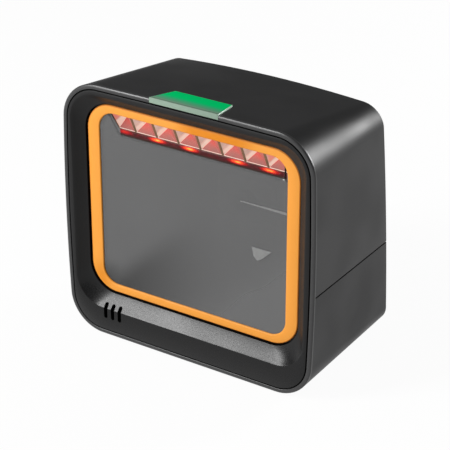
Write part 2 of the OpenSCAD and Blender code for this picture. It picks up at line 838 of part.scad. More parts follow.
module lens_glass() {
    color("#3c4a66") at_front() along_depth(barrel_front + lens_sink, barrel_front + lens_seat_t, lens_r);
}

module lens_holder() {
    color("#202022") at_front() difference() {
        translate([-holder_w / 2, camera_board_d - holder_l, -holder_w / 2])
            cube([holder_w, holder_l, holder_w]);
        along_depth(camera_board_d - holder_l - past, camera_board_d - holder_floor, barrel_r + press_play);
        translate([-sensor_space / 2, camera_board_d - holder_floor - past, -sensor_space / 2])
            cube([sensor_space, holder_floor + 2 * past, sensor_space]);
    }
}

module image_sensor() {
    color("#2d3238") at_front()
        translate([-sensor_size.x / 2, camera_board_d - sensor_size.y, -sensor_size.z / 2]) cube(sensor_size);
}

module camera_board() {
    color("#1f6b3a") at_front() difference() {
        translate([-camera_board_w / 2, camera_board_d, -camera_board_h / 2])
            cube([camera_board_w, small_board_t, camera_board_h]);
        for (x = [-post.x, post.x], h = [-post.y, post.y]) translate([x, 0, h])
            along_depth(camera_board_d - past, camera_board_d + small_board_t + past, pilot_r + hole_play);
    }
}

module aimer() {
    color("#a8343a") at_front() translate([aimer_at.x, 0, aimer_at.y]) {
        along_depth(chamber_d + chamber_wall + aimer_play, camera_board_d, aimer_r);
        along_depth(chamber_d - aimer_tip, camera_board_d, aimer_tip_r);
    }
}

module main_board() {
    color("#1f6b3a") at_front() difference() {
        translate([-board_half_w, board_front, board_base_h])
            cube([2 * board_half_w, board_back - board_front, board_t]);
        for (x = [-standoff_x, standoff_x], depth = standoff_depths)
            translate([x, depth, board_base_h - past])
                cylinder(r = pilot_r + hole_play, h = board_t + 2 * past);
    }
}

// A chip on the main board, by its place from the board's front edge and its size
module chip(place, size) {
    translate([place.x - size.x / 2, board_front + place.y - size.y / 2, board_top_h]) cube(size);
}

module board_chips() {
    color("#26272a") at_front() {
        chip(processor_at, processor);
        chip(memory_at, memory);
        chip(driver_at, driver);
        for (x = [capacitor_at.x - capacitor_pitch / 2, capacitor_at.x + capacitor_pitch / 2])
            translate([x, board_front + capacitor_at.y, board_top_h]) cylinder(r = capacitor_r, h = capacitor_h);
        translate([camera_chip_at.x - camera_chip.x / 2, camera_board_d + small_board_t,
            camera_chip_at.y - camera_chip.z / 2]) cube(camera_chip);
    }
}

// Where the ribbons enter their connectors, as depth and height
camera_plug_drop = 9;
camera_foot_gap = 4;
light_plug_drop = 7;
light_foot_gap = 12;
camera_plug = [camera_board_d + small_board_t + connector_t / 2, -camera_plug_drop];
camera_foot = [chamber_d + camera_foot_gap, board_top_h + connector_h];
light_plug = [light_box_d + small_board_t + connector_t, seat_top_h - light_plug_drop];
light_foot = [chamber_d - light_foot_gap, board_top_h + connector_h];
status_plug = [status_board_d + status_board_size.y, status_board_h - connector_t / 2];
light_ribbon_x = 40;
status_ribbon_x = -6;
lead_plug_size = [5, 4, 3];
lead_side = 7;
lead_x = speaker_x + lead_side;
lead_plug_gap = 1;
lead_plug = [board_front + lead_plug_gap, board_top_h + lead_plug_size.z / 2];

// Widths of the connectors and ribbons, and how far each ribbon's bends reach
camera_plug_w = 14;
light_plug_w = 10;
camera_ribbon_w = 12;
light_ribbon_w = 8;
lead_w = 2.4;
lead_shift = 0.8;
camera_bend = 24;
light_bend = [24, 90];
status_bend = [22, 14];
lead_bend = 6;

module board_connectors() {
    color("#e9e4d6") at_front() {
        translate([-camera_plug_w / 2, camera_board_d + small_board_t, camera_plug.y])
            cube([camera_plug_w, connector_t, connector_h]);
        translate([-camera_plug_w / 2, camera_foot.x - connector_t / 2, board_top_h])
            cube([camera_plug_w, connector_t, connector_h]);
        for (x = [light_ribbon_x, status_ribbon_x])
            translate([x - light_plug_w / 2, light_box_d + small_board_t, light_plug.y - connector_h / 2])
                cube([light_plug_w, connector_t, connector_h]);
        translate([light_ribbon_x - light_plug_w / 2, light_foot.x - connector_t / 2, board_top_h])
            cube([light_plug_w, connector_t, connector_h]);
        translate([status_ribbon_x - light_plug_w / 2, status_plug.x - connector_h,
            status_board_h - connector_t]) cube([light_plug_w, connector_h, connector_t]);
        translate([lead_x - lead_plug_size.x / 2, lead_plug.x, board_top_h]) cube(lead_plug_size);
    }
}

module interface_socket() {
    color("#1a1a1b") at_front() difference() {
        translate([-socket_w / 2, socket_front, board_top_h]) cube([socket_w, socket_l, socket_h]);
        translate([-plug_w / 2, socket_back - plug_l, plug_base_h]) cube([plug_w, plug_l + past, plug_h]);
        translate([-plug_key.x / 2, socket_back - plug_key.y, plug_base_h])
            cube([plug_key.x, plug_key.y + past, plug_h + plug_key.z]);
    }
}

module socket_contacts() {
    color("#d8b04a") at_front() for (i = [0:contact_count - 1])
        translate([(i - (contact_count - 1) / 2) * contact_pitch - contact_size.x / 2,
            socket_back - plug_l + contact_at.x, plug_base_h + contact_at.y])
            rotate([contact_lean, 0, 0]) cube(contact_size);
}

module speaker() {
    color("#4a4b4f") at_front() at_speaker() difference() {
        along_depth(shelf_d + gasket_t, collar_back, speaker_r);
        along_depth(shelf_d, shelf_d + gasket_t + speaker_rim, speaker_r - speaker_rim);
    }
}

module speaker_cone() {
    cone_front = shelf_d + gasket_t + cone_step;
    cone_r = speaker_r - speaker_rim - cone_play;
    color("#c9c2a8") at_front() at_speaker() difference() {
        along_depth(cone_front, shelf_d + gasket_t + speaker_rim, cone_r);
        along_depth(shelf_d, cone_front + cone_rim_t, cone_r - cone_roll);
    }
}

module speaker_gasket() {
    color("#151516") at_front() at_speaker() difference() {
        along_depth(shelf_d, shelf_d + gasket_t, speaker_r);
        along_depth(shelf_d - past, shelf_d + gasket_t + past, speaker_r - speaker_rim);
    }
}

// A smooth curve from p to s, leaving towards q and arriving from r
function off(end, way) = end + ribbon_gap * (way - end) / norm(way - end);
function curve(p, q, r, s) = [for (i = [0:curve_steps]) let (t = i / curve_steps)
    pow(1 - t, 3) * off(p, q) + 3 * t * pow(1 - t, 2) * q + 3 * t * t * (1 - t) * r + t * t * t * off(s, r)];
function heading(path, i) =
    let (step = path[min(i + 1, len(path) - 1)] - path[max(i - 1, 0)])
    step / norm(step);
function beside(path, gap) = [for (i = [0:len(path) - 1]) let (h = heading(path, i)) path[i] + gap * [-h.y, h.x]];

// Flat ribbon of a given width whose middle follows a path in depth and height
module ribbon(x, width, path) {
    ahead = beside(path, ribbon_t / 2);
    behind = beside(path, -ribbon_t / 2);
    across(x - width / 2, x + width / 2)
        polygon(concat(ahead, [for (i = [len(behind) - 1:-1:0]) behind[i]]));
}

module camera_ribbon() {
    color("#d9cfae") at_front() ribbon(0, camera_ribbon_w,
        curve(camera_plug, camera_plug - [0, camera_bend], camera_foot + [0, camera_bend], camera_foot));
}

module light_ribbon() {
    color("#d9cfae") at_front() ribbon(light_ribbon_x, light_ribbon_w,
        curve(light_plug, light_plug + [light_bend.x, 0], light_foot + [0, light_bend.y], light_foot));
}

module status_ribbon() {
    color("#d9cfae") at_front() ribbon(status_ribbon_x, light_ribbon_w,
        curve(status_plug, status_plug + [status_bend.x, 0], light_plug + [status_bend.y, 0], light_plug));
}

module speaker_lead() {
    start = [collar_back, speaker_h];
    color("#9a2a2a") at_front() ribbon(lead_x - lead_shift, lead_w,
        curve(start, start + [lead_bend, 0], lead_plug - [lead_bend, 0], lead_plug));
}

module housing_screws() {
    color("#8c8f94") at_front() for (x = [-tower_x, tower_x], depth = tower_depths) {
        shelf = seam_height(depth) - shelf_below_seam;
        translate([x, depth, shelf - head_h]) cylinder(r = head_r, h = head_h);
        translate([x, depth, shelf - head_h])
            cylinder(r = screw_r, h = head_h + shelf_below_seam + boss_pilot - pilot_spare);
    }
}

// A small screw along depth: its head lies behind the face, its shank runs forward
module small_screw(face, length) {
    along_depth(face, face + small_head_h, small_head_r);
    along_depth(face - length, face + small_head_h, small_shank_r);
}

module chamber_screws() {
    color("#8c8f94") at_front() at_chamber_screws()
        small_screw(bezel_d + flange_t, flange_t + chamber_screw_grip);
}

module board_screws() {
    color("#8c8f94") at_front() {
        for (x = [-post.x, post.x], h = [-post.y, post.y])
            translate([x, 0, h]) small_screw(camera_board_d + small_board_t, small_shank_l);
        for (x = [-illumination_post.x, illumination_post.x])
            translate([x, 0, illumination_post.y]) small_screw(light_box_d + small_board_t, small_shank_l);
        for (x = [-standoff_x, standoff_x], depth = standoff_depths) translate([x, depth, board_top_h]) {
            cylinder(r = small_head_r, h = small_head_h);
            translate([0, 0, -small_shank_l]) cylinder(r = small_shank_r, h = small_shank_l + small_head_h);
        }
        for (x = [-status_posts, status_posts]) translate([x, stem_d, status_board_h]) {
            translate([0, 0, -small_head_h]) cylinder(r = small_head_r, h = small_head_h);
            translate([0, 0, -small_head_h]) cylinder(r = small_shank_r, h = small_head_h + status_shank_l);
        }
    }
}

module rubber_feet() {
    color("#101011") at_front() at_feet() translate([0, 0, base_h - foot_h])
        cylinder(r = foot_r, h = foot_h + foot_recess);
}

upper_housing();
lower_cover();
front_bezel();
light_ring();
window_glass();
status_light();
status_board();
status_lamps();
scan_chamber();
reflector_row();
light_strip();
illumination_board();
illumination_lamps();
lens_barrel();
lens_glass();
lens_holder();
image_sensor();
camera_board();
aimer();
main_board();
board_chips();
board_connectors();
interface_socket();
socket_contacts();
speaker();
speaker_cone();
speaker_gasket();
camera_ribbon();
light_ribbon();
status_ribbon();
speaker_lead();
housing_screws();
chamber_screws();
board_screws();
rubber_feet();
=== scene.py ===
import logging
import math
from dataclasses import dataclass
from enum import Enum
from functools import lru_cache
from typing import Any, Iterable, Sequence

import bmesh
import bpy
from mathutils import Matrix, Vector


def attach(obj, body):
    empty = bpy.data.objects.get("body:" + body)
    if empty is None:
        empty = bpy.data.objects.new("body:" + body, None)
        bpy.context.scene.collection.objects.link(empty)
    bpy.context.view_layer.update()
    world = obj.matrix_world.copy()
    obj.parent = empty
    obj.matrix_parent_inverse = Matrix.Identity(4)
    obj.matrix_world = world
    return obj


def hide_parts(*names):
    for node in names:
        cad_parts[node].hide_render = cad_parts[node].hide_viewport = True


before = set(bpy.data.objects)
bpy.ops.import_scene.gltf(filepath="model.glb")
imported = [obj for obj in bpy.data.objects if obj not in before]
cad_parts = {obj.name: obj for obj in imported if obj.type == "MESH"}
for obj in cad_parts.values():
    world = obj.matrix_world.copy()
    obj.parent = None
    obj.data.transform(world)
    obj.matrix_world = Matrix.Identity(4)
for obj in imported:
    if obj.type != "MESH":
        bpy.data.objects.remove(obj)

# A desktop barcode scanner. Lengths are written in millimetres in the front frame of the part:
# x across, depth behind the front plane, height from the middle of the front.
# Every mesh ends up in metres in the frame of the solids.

LOG = logging.getLogger("scanner")
MM = 0.001
BODY = "root"
CORNER_STEPS = 14                  # segments of an outline's round corner
EDGE_CUTS = 11                     # cuts in an outline's straight side
ROUND_SEGMENTS = 48                # sides of a round bar
SMOOTH_UP_TO = math.radians(31)    # faces that meet at less than this shade as one
SHARP_FROM = math.radians(40)      # edges where faces meet at more than this are rounded
FACING = 0.9                       # how far a normal goes along the way that its face looks
WELD = 1e-4                        # points closer than this, in millimetres, are one
SECTION_SLACK = 1e-5               # points closer than this to a plane are on it
CLEAR = 1.0                        # how far a cutter stands past what it cuts, in millimetres
FINE = 3.0                         # detail of a fine noise
BROAD = 1.0                        # detail of a broad noise
MOST = (0.3, 0.7)                  # the span that most of a noise covers
SECOND = 1                         # material index of a piece's second finish

Span = tuple[float, float]
Point = tuple[float, float, float]
Ring = list[Vector]
Colour = tuple[float, float, float]
Corners = tuple[Span, ...]
Stops = Sequence[tuple[float, Colour]]


@dataclass(frozen=True)
class Outline:
    """A closed outline with round corners, drawn in x and height."""

    half_w: float
    base: float
    top: float
    base_r: float
    top_r: float
    side_crown: float = 0.0
    top_crown: float = 0.0
    full_height: float = 153.0

    @lru_cache(maxsize=None)
    def points(self) -> Corners:
        """Draws the outline and walks round it.

        Returns:
            Its points as x and height, from the middle of the right side upwards and round.
        """
        bm = bmesh.new()
        places = ((self.half_w, self.top), (-self.half_w, self.top),
                  (-self.half_w, self.base), (self.half_w, self.base))
        corners = [bm.verts.new((x, 0.0, height)) for x, height in places]
        bm.faces.new(corners)
        for verts, radius in ((corners[:2], self.top_r), (corners[2:], self.base_r)):
            bmesh.ops.bevel(bm, geom=verts, offset=radius, offset_type="OFFSET", segments=CORNER_STEPS,
                            profile=0.5, affect="VERTICES", material=-1)
        bmesh.ops.delete(bm, geom=bm.faces[:], context="FACES_ONLY")
        sides = sorted(bm.edges, key=lambda edge: edge.calc_length())[-len(places):]
        bmesh.ops.subdivide_edges(bm, edges=sides, cuts=EDGE_CUTS)
        middle = (self.top - self.top_r + self.base + self.base_r) / 2
        start = min(bm.verts, key=lambda vert: (vert.co - Vector((self.half_w, 0.0, middle))).length)
        onward = max((edge.other_vert(start) for edge in start.link_edges), key=lambda vert: vert.co.z)
        path = [start, onward]
        while len(path) < len(bm.verts):
            beside = [edge.other_vert(path[-1]) for edge in path[-1].link_edges]
            path.append(next(vert for vert in beside if vert is not path[-2]))
        found = tuple(self.crowned(vert.co.x, vert.co.z) for vert in path)
        bm.free()
        return found

    def crowned(self, x: float, height: float) -> Span:
        """Bulges one point outwards by the crowns of the sides and of the top.

        Args:
            x: Where the point lies across.
            height: How high it lies.

        Returns:
            Its new x and height.
        """
        across = x / self.half_w
        upward = 2 * height / self.full_height
        bulge = self.side_crown * (1 - upward ** 2) * across
        rise = self.top_crown * (1 - across ** 2) * max(upward, 0.0)
        return x + bulge, height + rise

    def at(self, depth: float) -> Ring:
        """The outline's points at a depth."""
        return [Vector((x, depth, height)) for x, height in self.points()]


@dataclass(frozen=True)
class BodyForm:
    """Outer form of the housing, and the places that its pieces share."""

    width: float = 160.0
    height: float = 153.0
    depth: float = 101.0
    side_taper: float = 7.5
    top_drop: float = 12.0
    back_lean: float = math.radians(6.3)
    wall: float = 2.4
    corner_r: float = 22.0
    base_corner_r: float = 21.0
    corner_tighter: float = 9.8
    side_crown: float = 2.0
    back_side_crown: float = 1.2
    top_crown: float = 0.8
    back_top_crown: float = 4.0
    edge_r: float = 0.8
    seam_h: float = 64.5
    seam_tilt: float = math.radians(4.8)
    shadow_line: float = 0.9
    rim_t: float = 1.8
    rim_w: float = 2.6
    foot_h: float = 1.5
    fit: float = 0.15

    @property
    def base(self) -> float:
        """Height of the base."""
        return -self.height / 2

    @property
    def front_top(self) -> float:
        """Height of the top at the front, with its crown."""
        return self.height / 2 + self.top_crown

    @property
    def top_angle(self) -> float:
        """Fall of the top towards the back, in radians."""
        crest = (self.height / 2 - self.top_drop) * (1 + 2 * self.back_top_crown / self.height)
        return math.atan((self.front_top - crest) / self.back_depth(crest))

    def back_depth(self, height: float) -> float:
        """Depth of the leaning back at a height."""
        return self.depth - math.tan(self.back_lean) * (height - self.base)

    def seam_height(self, depth: float) -> float:
        """Height of the seam at a depth."""
        return self.base + self.seam_h - math.tan(self.seam_tilt) * depth

    def seam_normal(self) -> Vector:
        """Upward normal of the seam's plane."""
        return Vector((0.0, math.sin(self.seam_tilt), math.cos(self.seam_tilt)))

    def front_ring(self, inset: float, depth: float) -> Ring:
        """Draws the front's outline.

        Args:
            inset: How far it is drawn in.
            depth: Where it lies.

        Returns:
            The outline's points.
        """
        outline = Outline(self.width / 2 - inset, self.base + inset, self.height / 2 - inset,
                          self.base_corner_r - inset, self.corner_r - inset, self.side_crown, self.top_crown)
        return outline.at(depth)

    def back_ring(self, inset: float, forward: float) -> Ring:
        """Draws the back's outline on the leaning back.

        Args:
            inset: How far it is drawn in.
            forward: How far it is brought forward.

        Returns:
            The outline's points.
        """
        outline = Outline(self.width / 2 - self.side_taper - inset, self.base + inset,
                          self.height / 2 - self.top_drop - inset,
                          self.base_corner_r - self.corner_tighter - inset,
                          self.corner_r - self.corner_tighter - inset,
                          self.back_side_crown, self.back_top_crown)
        return [Vector((x, self.back_depth(height) - forward, height)) for x, height in outline.points()]

    def between(self, front: Ring, back: Ring, depth: float) -> Ring:
        """The ring at one depth on the straight skin between two rings."""
        shares = [(depth - a.y) / (b.y - a.y) for a, b in zip(front, back)]
        return [a.lerp(b, share) for a, b, share in zip(front, back, shares)]

    def side_ring(self, depth: float) -> Ring:
        """The outer skin's ring at a depth."""
        return self.between(self.front_ring(0.0, self.edge_r), self.back_ring(0.0, self.edge_r), depth)

    def core_ring(self, inset: float, depth: float) -> Ring:
        """The ring at a depth on the form drawn in by an even amount."""
        return self.between(self.front_ring(inset, 0.0), self.back_ring(inset, inset), depth)


FORM = BodyForm()


@dataclass(frozen=True)
class DishForm:
    """Sizes of the dish in the front, of the light ring and of the window."""

    mouth_side: float = 5.1
    mouth_top: float = 6.3
    mouth_base: float = 18.0
    mouth_r: float = 16.5
    slope_side: float = 6.1
    slope_top: float = 5.8
    slope_base: float = 8.0
    slope_hollow: float = 0.25
    dish_t: float = 6.1
    ring_side: float = 8.0
    ring_edge: float = 4.9
    ring_r: float = 16.5
    ring_inner_r: float = 10.0
    ring_gap: float = 0.85
    ring_sink: float = 0.8
    ring_t: float = 2.5
    glass_inset: float = 0.9
    glass_lap: float = 1.5

    @property
    def back(self) -> float:
        """Depth of the ring's back."""
        return self.dish_t + self.ring_t

    @property
    def ring_half_w(self) -> float:
        """Half width of the light ring."""
        return FORM.width / 2 - self.mouth_side - self.slope_side

    @property
    def ring_top(self) -> float:
        """Height of the ring's upper edge."""
        return FORM.height / 2 - self.mouth_top - self.slope_top

    @property
    def ring_base(self) -> float:
        """Height of the ring's lower edge."""
        return FORM.base + self.mouth_base + self.slope_base

    @property
    def opening(self) -> Point:
        """Half width, base and top of the window's opening."""
        return (self.ring_half_w - self.ring_side, self.ring_base + self.ring_edge,
                self.ring_top - self.ring_edge)

    def slope_ring(self, share: float, grow: float, depth: float) -> Ring:
        """Draws the dish's outline somewhere on its slope.

        Args:
            share: How far down the slope, from 0 at the mouth to 1 at the ring.
            grow: How far it is grown outwards.
            depth: Where it lies.

        Returns:
            The outline's points.
        """
        radius = self.mouth_r + (self.ring_r + self.ring_gap - self.mouth_r) * share + grow
        outline = Outline(FORM.width / 2 - self.mouth_side - (self.slope_side - self.ring_gap) * share + grow,
                          FORM.base + self.mouth_base + (self.slope_base - self.ring_gap) * share - grow,
                          FORM.height / 2 - self.mouth_top - (self.slope_top - self.ring_gap) * share + grow,
                          radius, radius)
        return outline.at(depth)

    def slope_depth(self, share: float) -> float:
        """Depth of the hollow slope at a share of it."""
        reach = self.dish_t - self.ring_sink - FORM.edge_r
        return FORM.edge_r + reach * share * (1 + self.slope_hollow * (1 - share))

    def ring(self, grow: float, depth: float) -> Ring:
        """The light ring's outer outline, grown outwards, at a depth."""
        outline = Outline(self.ring_half_w + grow, self.ring_base - grow, self.ring_top + grow,
                          self.ring_r + grow, self.ring_r + grow)
        return outline.at(depth)

    def inner(self, grow: float, depth: float) -> Ring:
        """Draws the window opening's outline.

        Args:
            grow: How far it is grown outwards.
            depth: Where it lies.

        Returns:
            The outline's points.
        """
        half_w, base, top = self.opening
        radius = self.ring_inner_r + grow
        outline = Outline(half_w + grow, base - grow, top + grow, radius, radius)
        return outline.at(depth)


DISH = DishForm()


@dataclass(frozen=True)
class RowForm:
    """The division of the reflector row, which its finish follows too."""

    count: int = 8
    pitch: float = 14.35

    @property
    def half_w(self) -> float:
        """Half width of the row of cups."""
        return self.count * self.pitch / 2


ROW = RowForm()


class Skin:
    """A mesh grown ring by ring: each ring is an extrusion of the one before, set in its own place."""

    def __init__(self, ring: Ring) -> None:
        """Starts from a first ring.

        Args:
            ring: The ring's points, in order.
        """
        self.bm = bmesh.new()
        self.order = self.bm.verts.layers.int.new("order")
        verts = [self.bm.verts.new(point) for point in ring]
        for place, vert in enumerate(verts):
            vert[self.order] = place
        self.edge = [self.bm.edges.new(pair) for pair in zip(verts, verts[1:] + verts[:1])]

    def on(self, ring: Ring) -> list[bmesh.types.BMFace]:
        """Grows the skin to the next ring.

        Args:
            ring: The next ring's points, in the same order.

        Returns:
            The faces between the two rings.
        """
        grown = bmesh.ops.extrude_edge_only(self.bm, edges=self.edge)["geom"]
        fresh = {item for item in grown if isinstance(item, bmesh.types.BMVert)}
        for vert in fresh:
            vert.co = ring[vert[self.order]]
        old = self.edge
        edges = [item for item in grown if isinstance(item, bmesh.types.BMEdge)]
        self.edge = [edge for edge in edges if set(edge.verts) <= fresh]
        return [face for edge in old for face in edge.link_faces if fresh & set(face.verts)]

    def weld(self) -> None:
        """Joins the last ring to the first, which lies in the same place."""
        bmesh.ops.remove_doubles(self.bm, verts=self.bm.verts[:], dist=WELD)

    def cap(self, edges: Sequence[bmesh.types.BMEdge]) -> None:
        """Closes a flat ring with one face."""
        bmesh.ops.edgeloop_fill(self.bm, edges=list(edges))


def rounding(steps: int) -> list[Span]:
    """Draws a quarter round in even steps.

    Args:
        steps: How many steps it has.

    Returns:
        How far each place has gone inwards, and how far it has still to go forwards, both as
        shares of the radius: from (0, 1) to (1, 0).
    """
    angles = [math.pi / 2 * step / steps for step in range(steps + 1)]
    return [(1 - math.cos(angle), 1 - math.sin(angle)) for angle in angles]


def to_frame(bm: bmesh.types.BMesh) -> None:
    """Takes a mesh from the front frame in millimetres to the solids' frame in metres."""
    shift = Matrix.Translation((0.0, -FORM.depth / 2, FORM.foot_h + FORM.height / 2))
    bmesh.ops.transform(bm, matrix=Matrix.Scale(MM, 4) @ shift, verts=bm.verts[:])


def cut(bm: bmesh.types.BMesh, point: Vector, normal: Vector) -> list[bmesh.types.BMFace]:
    """Takes away what lies on the normal's side of a plane, and closes the section.

    Args:
        bm: The mesh to cut.
        point: A point on the plane.
        normal: The side that is taken away.

    Returns:
        The faces that close the section.
    """
    everything = bm.verts[:] + bm.edges[:] + bm.faces[:]
    bmesh.ops.bisect_plane(bm, geom=everything, plane_co=point, plane_no=normal, clear_outer=True,
                           dist=SECTION_SLACK)
    rim = [edge for edge in bm.edges if edge.is_boundary]
    return bmesh.ops.edgeloop_fill(bm, edges=rim)["faces"]


def box(low: Sequence[float], high: Sequence[float]) -> bmesh.types.BMesh:
    """Makes a block between two corners.

    Args:
        low: Its lowest corner.
        high: Its highest corner.

    Returns:
        The block's mesh.
    """
    bm = bmesh.new()
    size = [b - a for a, b in zip(low, high)]
    middle = [(a + b) / 2 for a, b in zip(low, high)]
    matrix = Matrix.Translation(middle) @ Matrix.Diagonal((*size, 1.0))
    bmesh.ops.create_cube(bm, size=1.0, matrix=matrix)
    return bm


def rod(radius: float, start: Vector, end: Vector, segments: int = ROUND_SEGMENTS) -> bmesh.types.BMesh:
    """Makes a round bar from one point to another.

    Args:
        radius: Its radius.
        start: The middle of one end.
        end: The middle of the other end.
        segments: How many sides it has.

    Returns:
        The bar's mesh.
    """
    bm = bmesh.new()
    way = end - start
    turn = way.to_track_quat("Z", "Y").to_matrix().to_4x4()
    matrix = Matrix.Translation((start + end) / 2) @ turn
    bmesh.ops.create_cone(bm, cap_ends=True, segments=segments, radius1=radius, radius2=radius,
                          depth=way.length, matrix=matrix)
    return bm


def soften(bm: bmesh.types.BMesh, edges: Iterable[bmesh.types.BMEdge], radius: float,
           segments: int = 2) -> None:
    """Rounds some edges of a mesh."""
    bmesh.ops.bevel(bm, geom=list(edges), offset=radius, offset_type="OFFSET", segments=segments, profile=0.5,
                    affect="EDGES", material=-1, clamp_overlap=True)


def sharp_edges(bm: bmesh.types.BMesh) -> list[bmesh.types.BMEdge]:
    """Edges where two faces meet at more than the sharp angle."""
    return [edge for edge in bm.edges if edge.is_manifold and edge.calc_face_angle(0.0) > SHARP_FROM]


def raise_faces(bm: bmesh.types.BMesh, faces: Sequence[bmesh.types.BMFace],
                way: Sequence[float]) -> list[bmesh.types.BMVert]:
    """Extrudes faces and moves the new ones.

    Args:
        bm: The mesh.
        faces: The faces to extrude.
        way: How far and where to.

    Returns:
        The points of the moved faces.
    """
    grown = bmesh.ops.extrude_face_region(bm, geom=list(faces))["geom"]
    moved = [item for item in grown if isinstance(item, bmesh.types.BMVert)]
    bmesh.ops.translate(bm, verts=moved, vec=way)
    return moved


def paint(faces: Iterable[bmesh.types.BMFace], place: int = SECOND) -> None:
    """Gives faces the finish at a place in their piece's list."""
    for face in faces:
        face.material_index = place


def join(*parts: bmesh.types.BMesh) -> bmesh.types.BMesh:
    """Puts several meshes into the first one.

    Args:
        parts: The meshes; all but the first are used up.

    Returns:
        The first mesh.
    """
    whole = parts[0]
    for part in parts[1:]:
        passing = bpy.data.meshes.new("passing")
        part.to_mesh(passing)
        part.free()
        whole.from_mesh(passing)
        bpy.data.meshes.remove(passing)
    return whole


def scratch_object(bm: bmesh.types.BMesh) -> bpy.types.Object:
    """Makes a passing object that holds a mesh in the front frame.

    Args:
        bm: The mesh, which is used up.

    Returns:
        The object.
    """
    mesh = bpy.data.meshes.new("scratch")
    bmesh.ops.recalc_face_normals(bm, faces=bm.faces[:])
    bm.to_mesh(mesh)
    bm.free()
    obj = bpy.data.objects.new("scratch", mesh)
    bpy.context.scene.collection.objects.link(obj)
    return obj


def carve(bm: bmesh.types.BMesh, cutters: Iterable[bmesh.types.BMesh]) -> bmesh.types.BMesh:
    """Cuts other meshes out of a mesh.

    Args:
        bm: The mesh to cut, which is used up.
        cutters: The meshes to take away, which are used up too.

    Returns:
        The mesh that is left.
    """
    target = scratch_object(bm)
    tools = [scratch_object(cutter) for cutter in cutters]
    for tool in tools:
        modifier = target.modifiers.new("carve", "BOOLEAN")
        modifier.operation = "DIFFERENCE"
        modifier.solver = "EXACT"
        modifier.object = tool
    carved = bmesh.new()
    carved.from_object(target, bpy.context.evaluated_depsgraph_get())
    for obj in (target, *tools):
        mesh = obj.data
        bpy.data.objects.remove(obj)
        bpy.data.meshes.remove(mesh)
    return carved


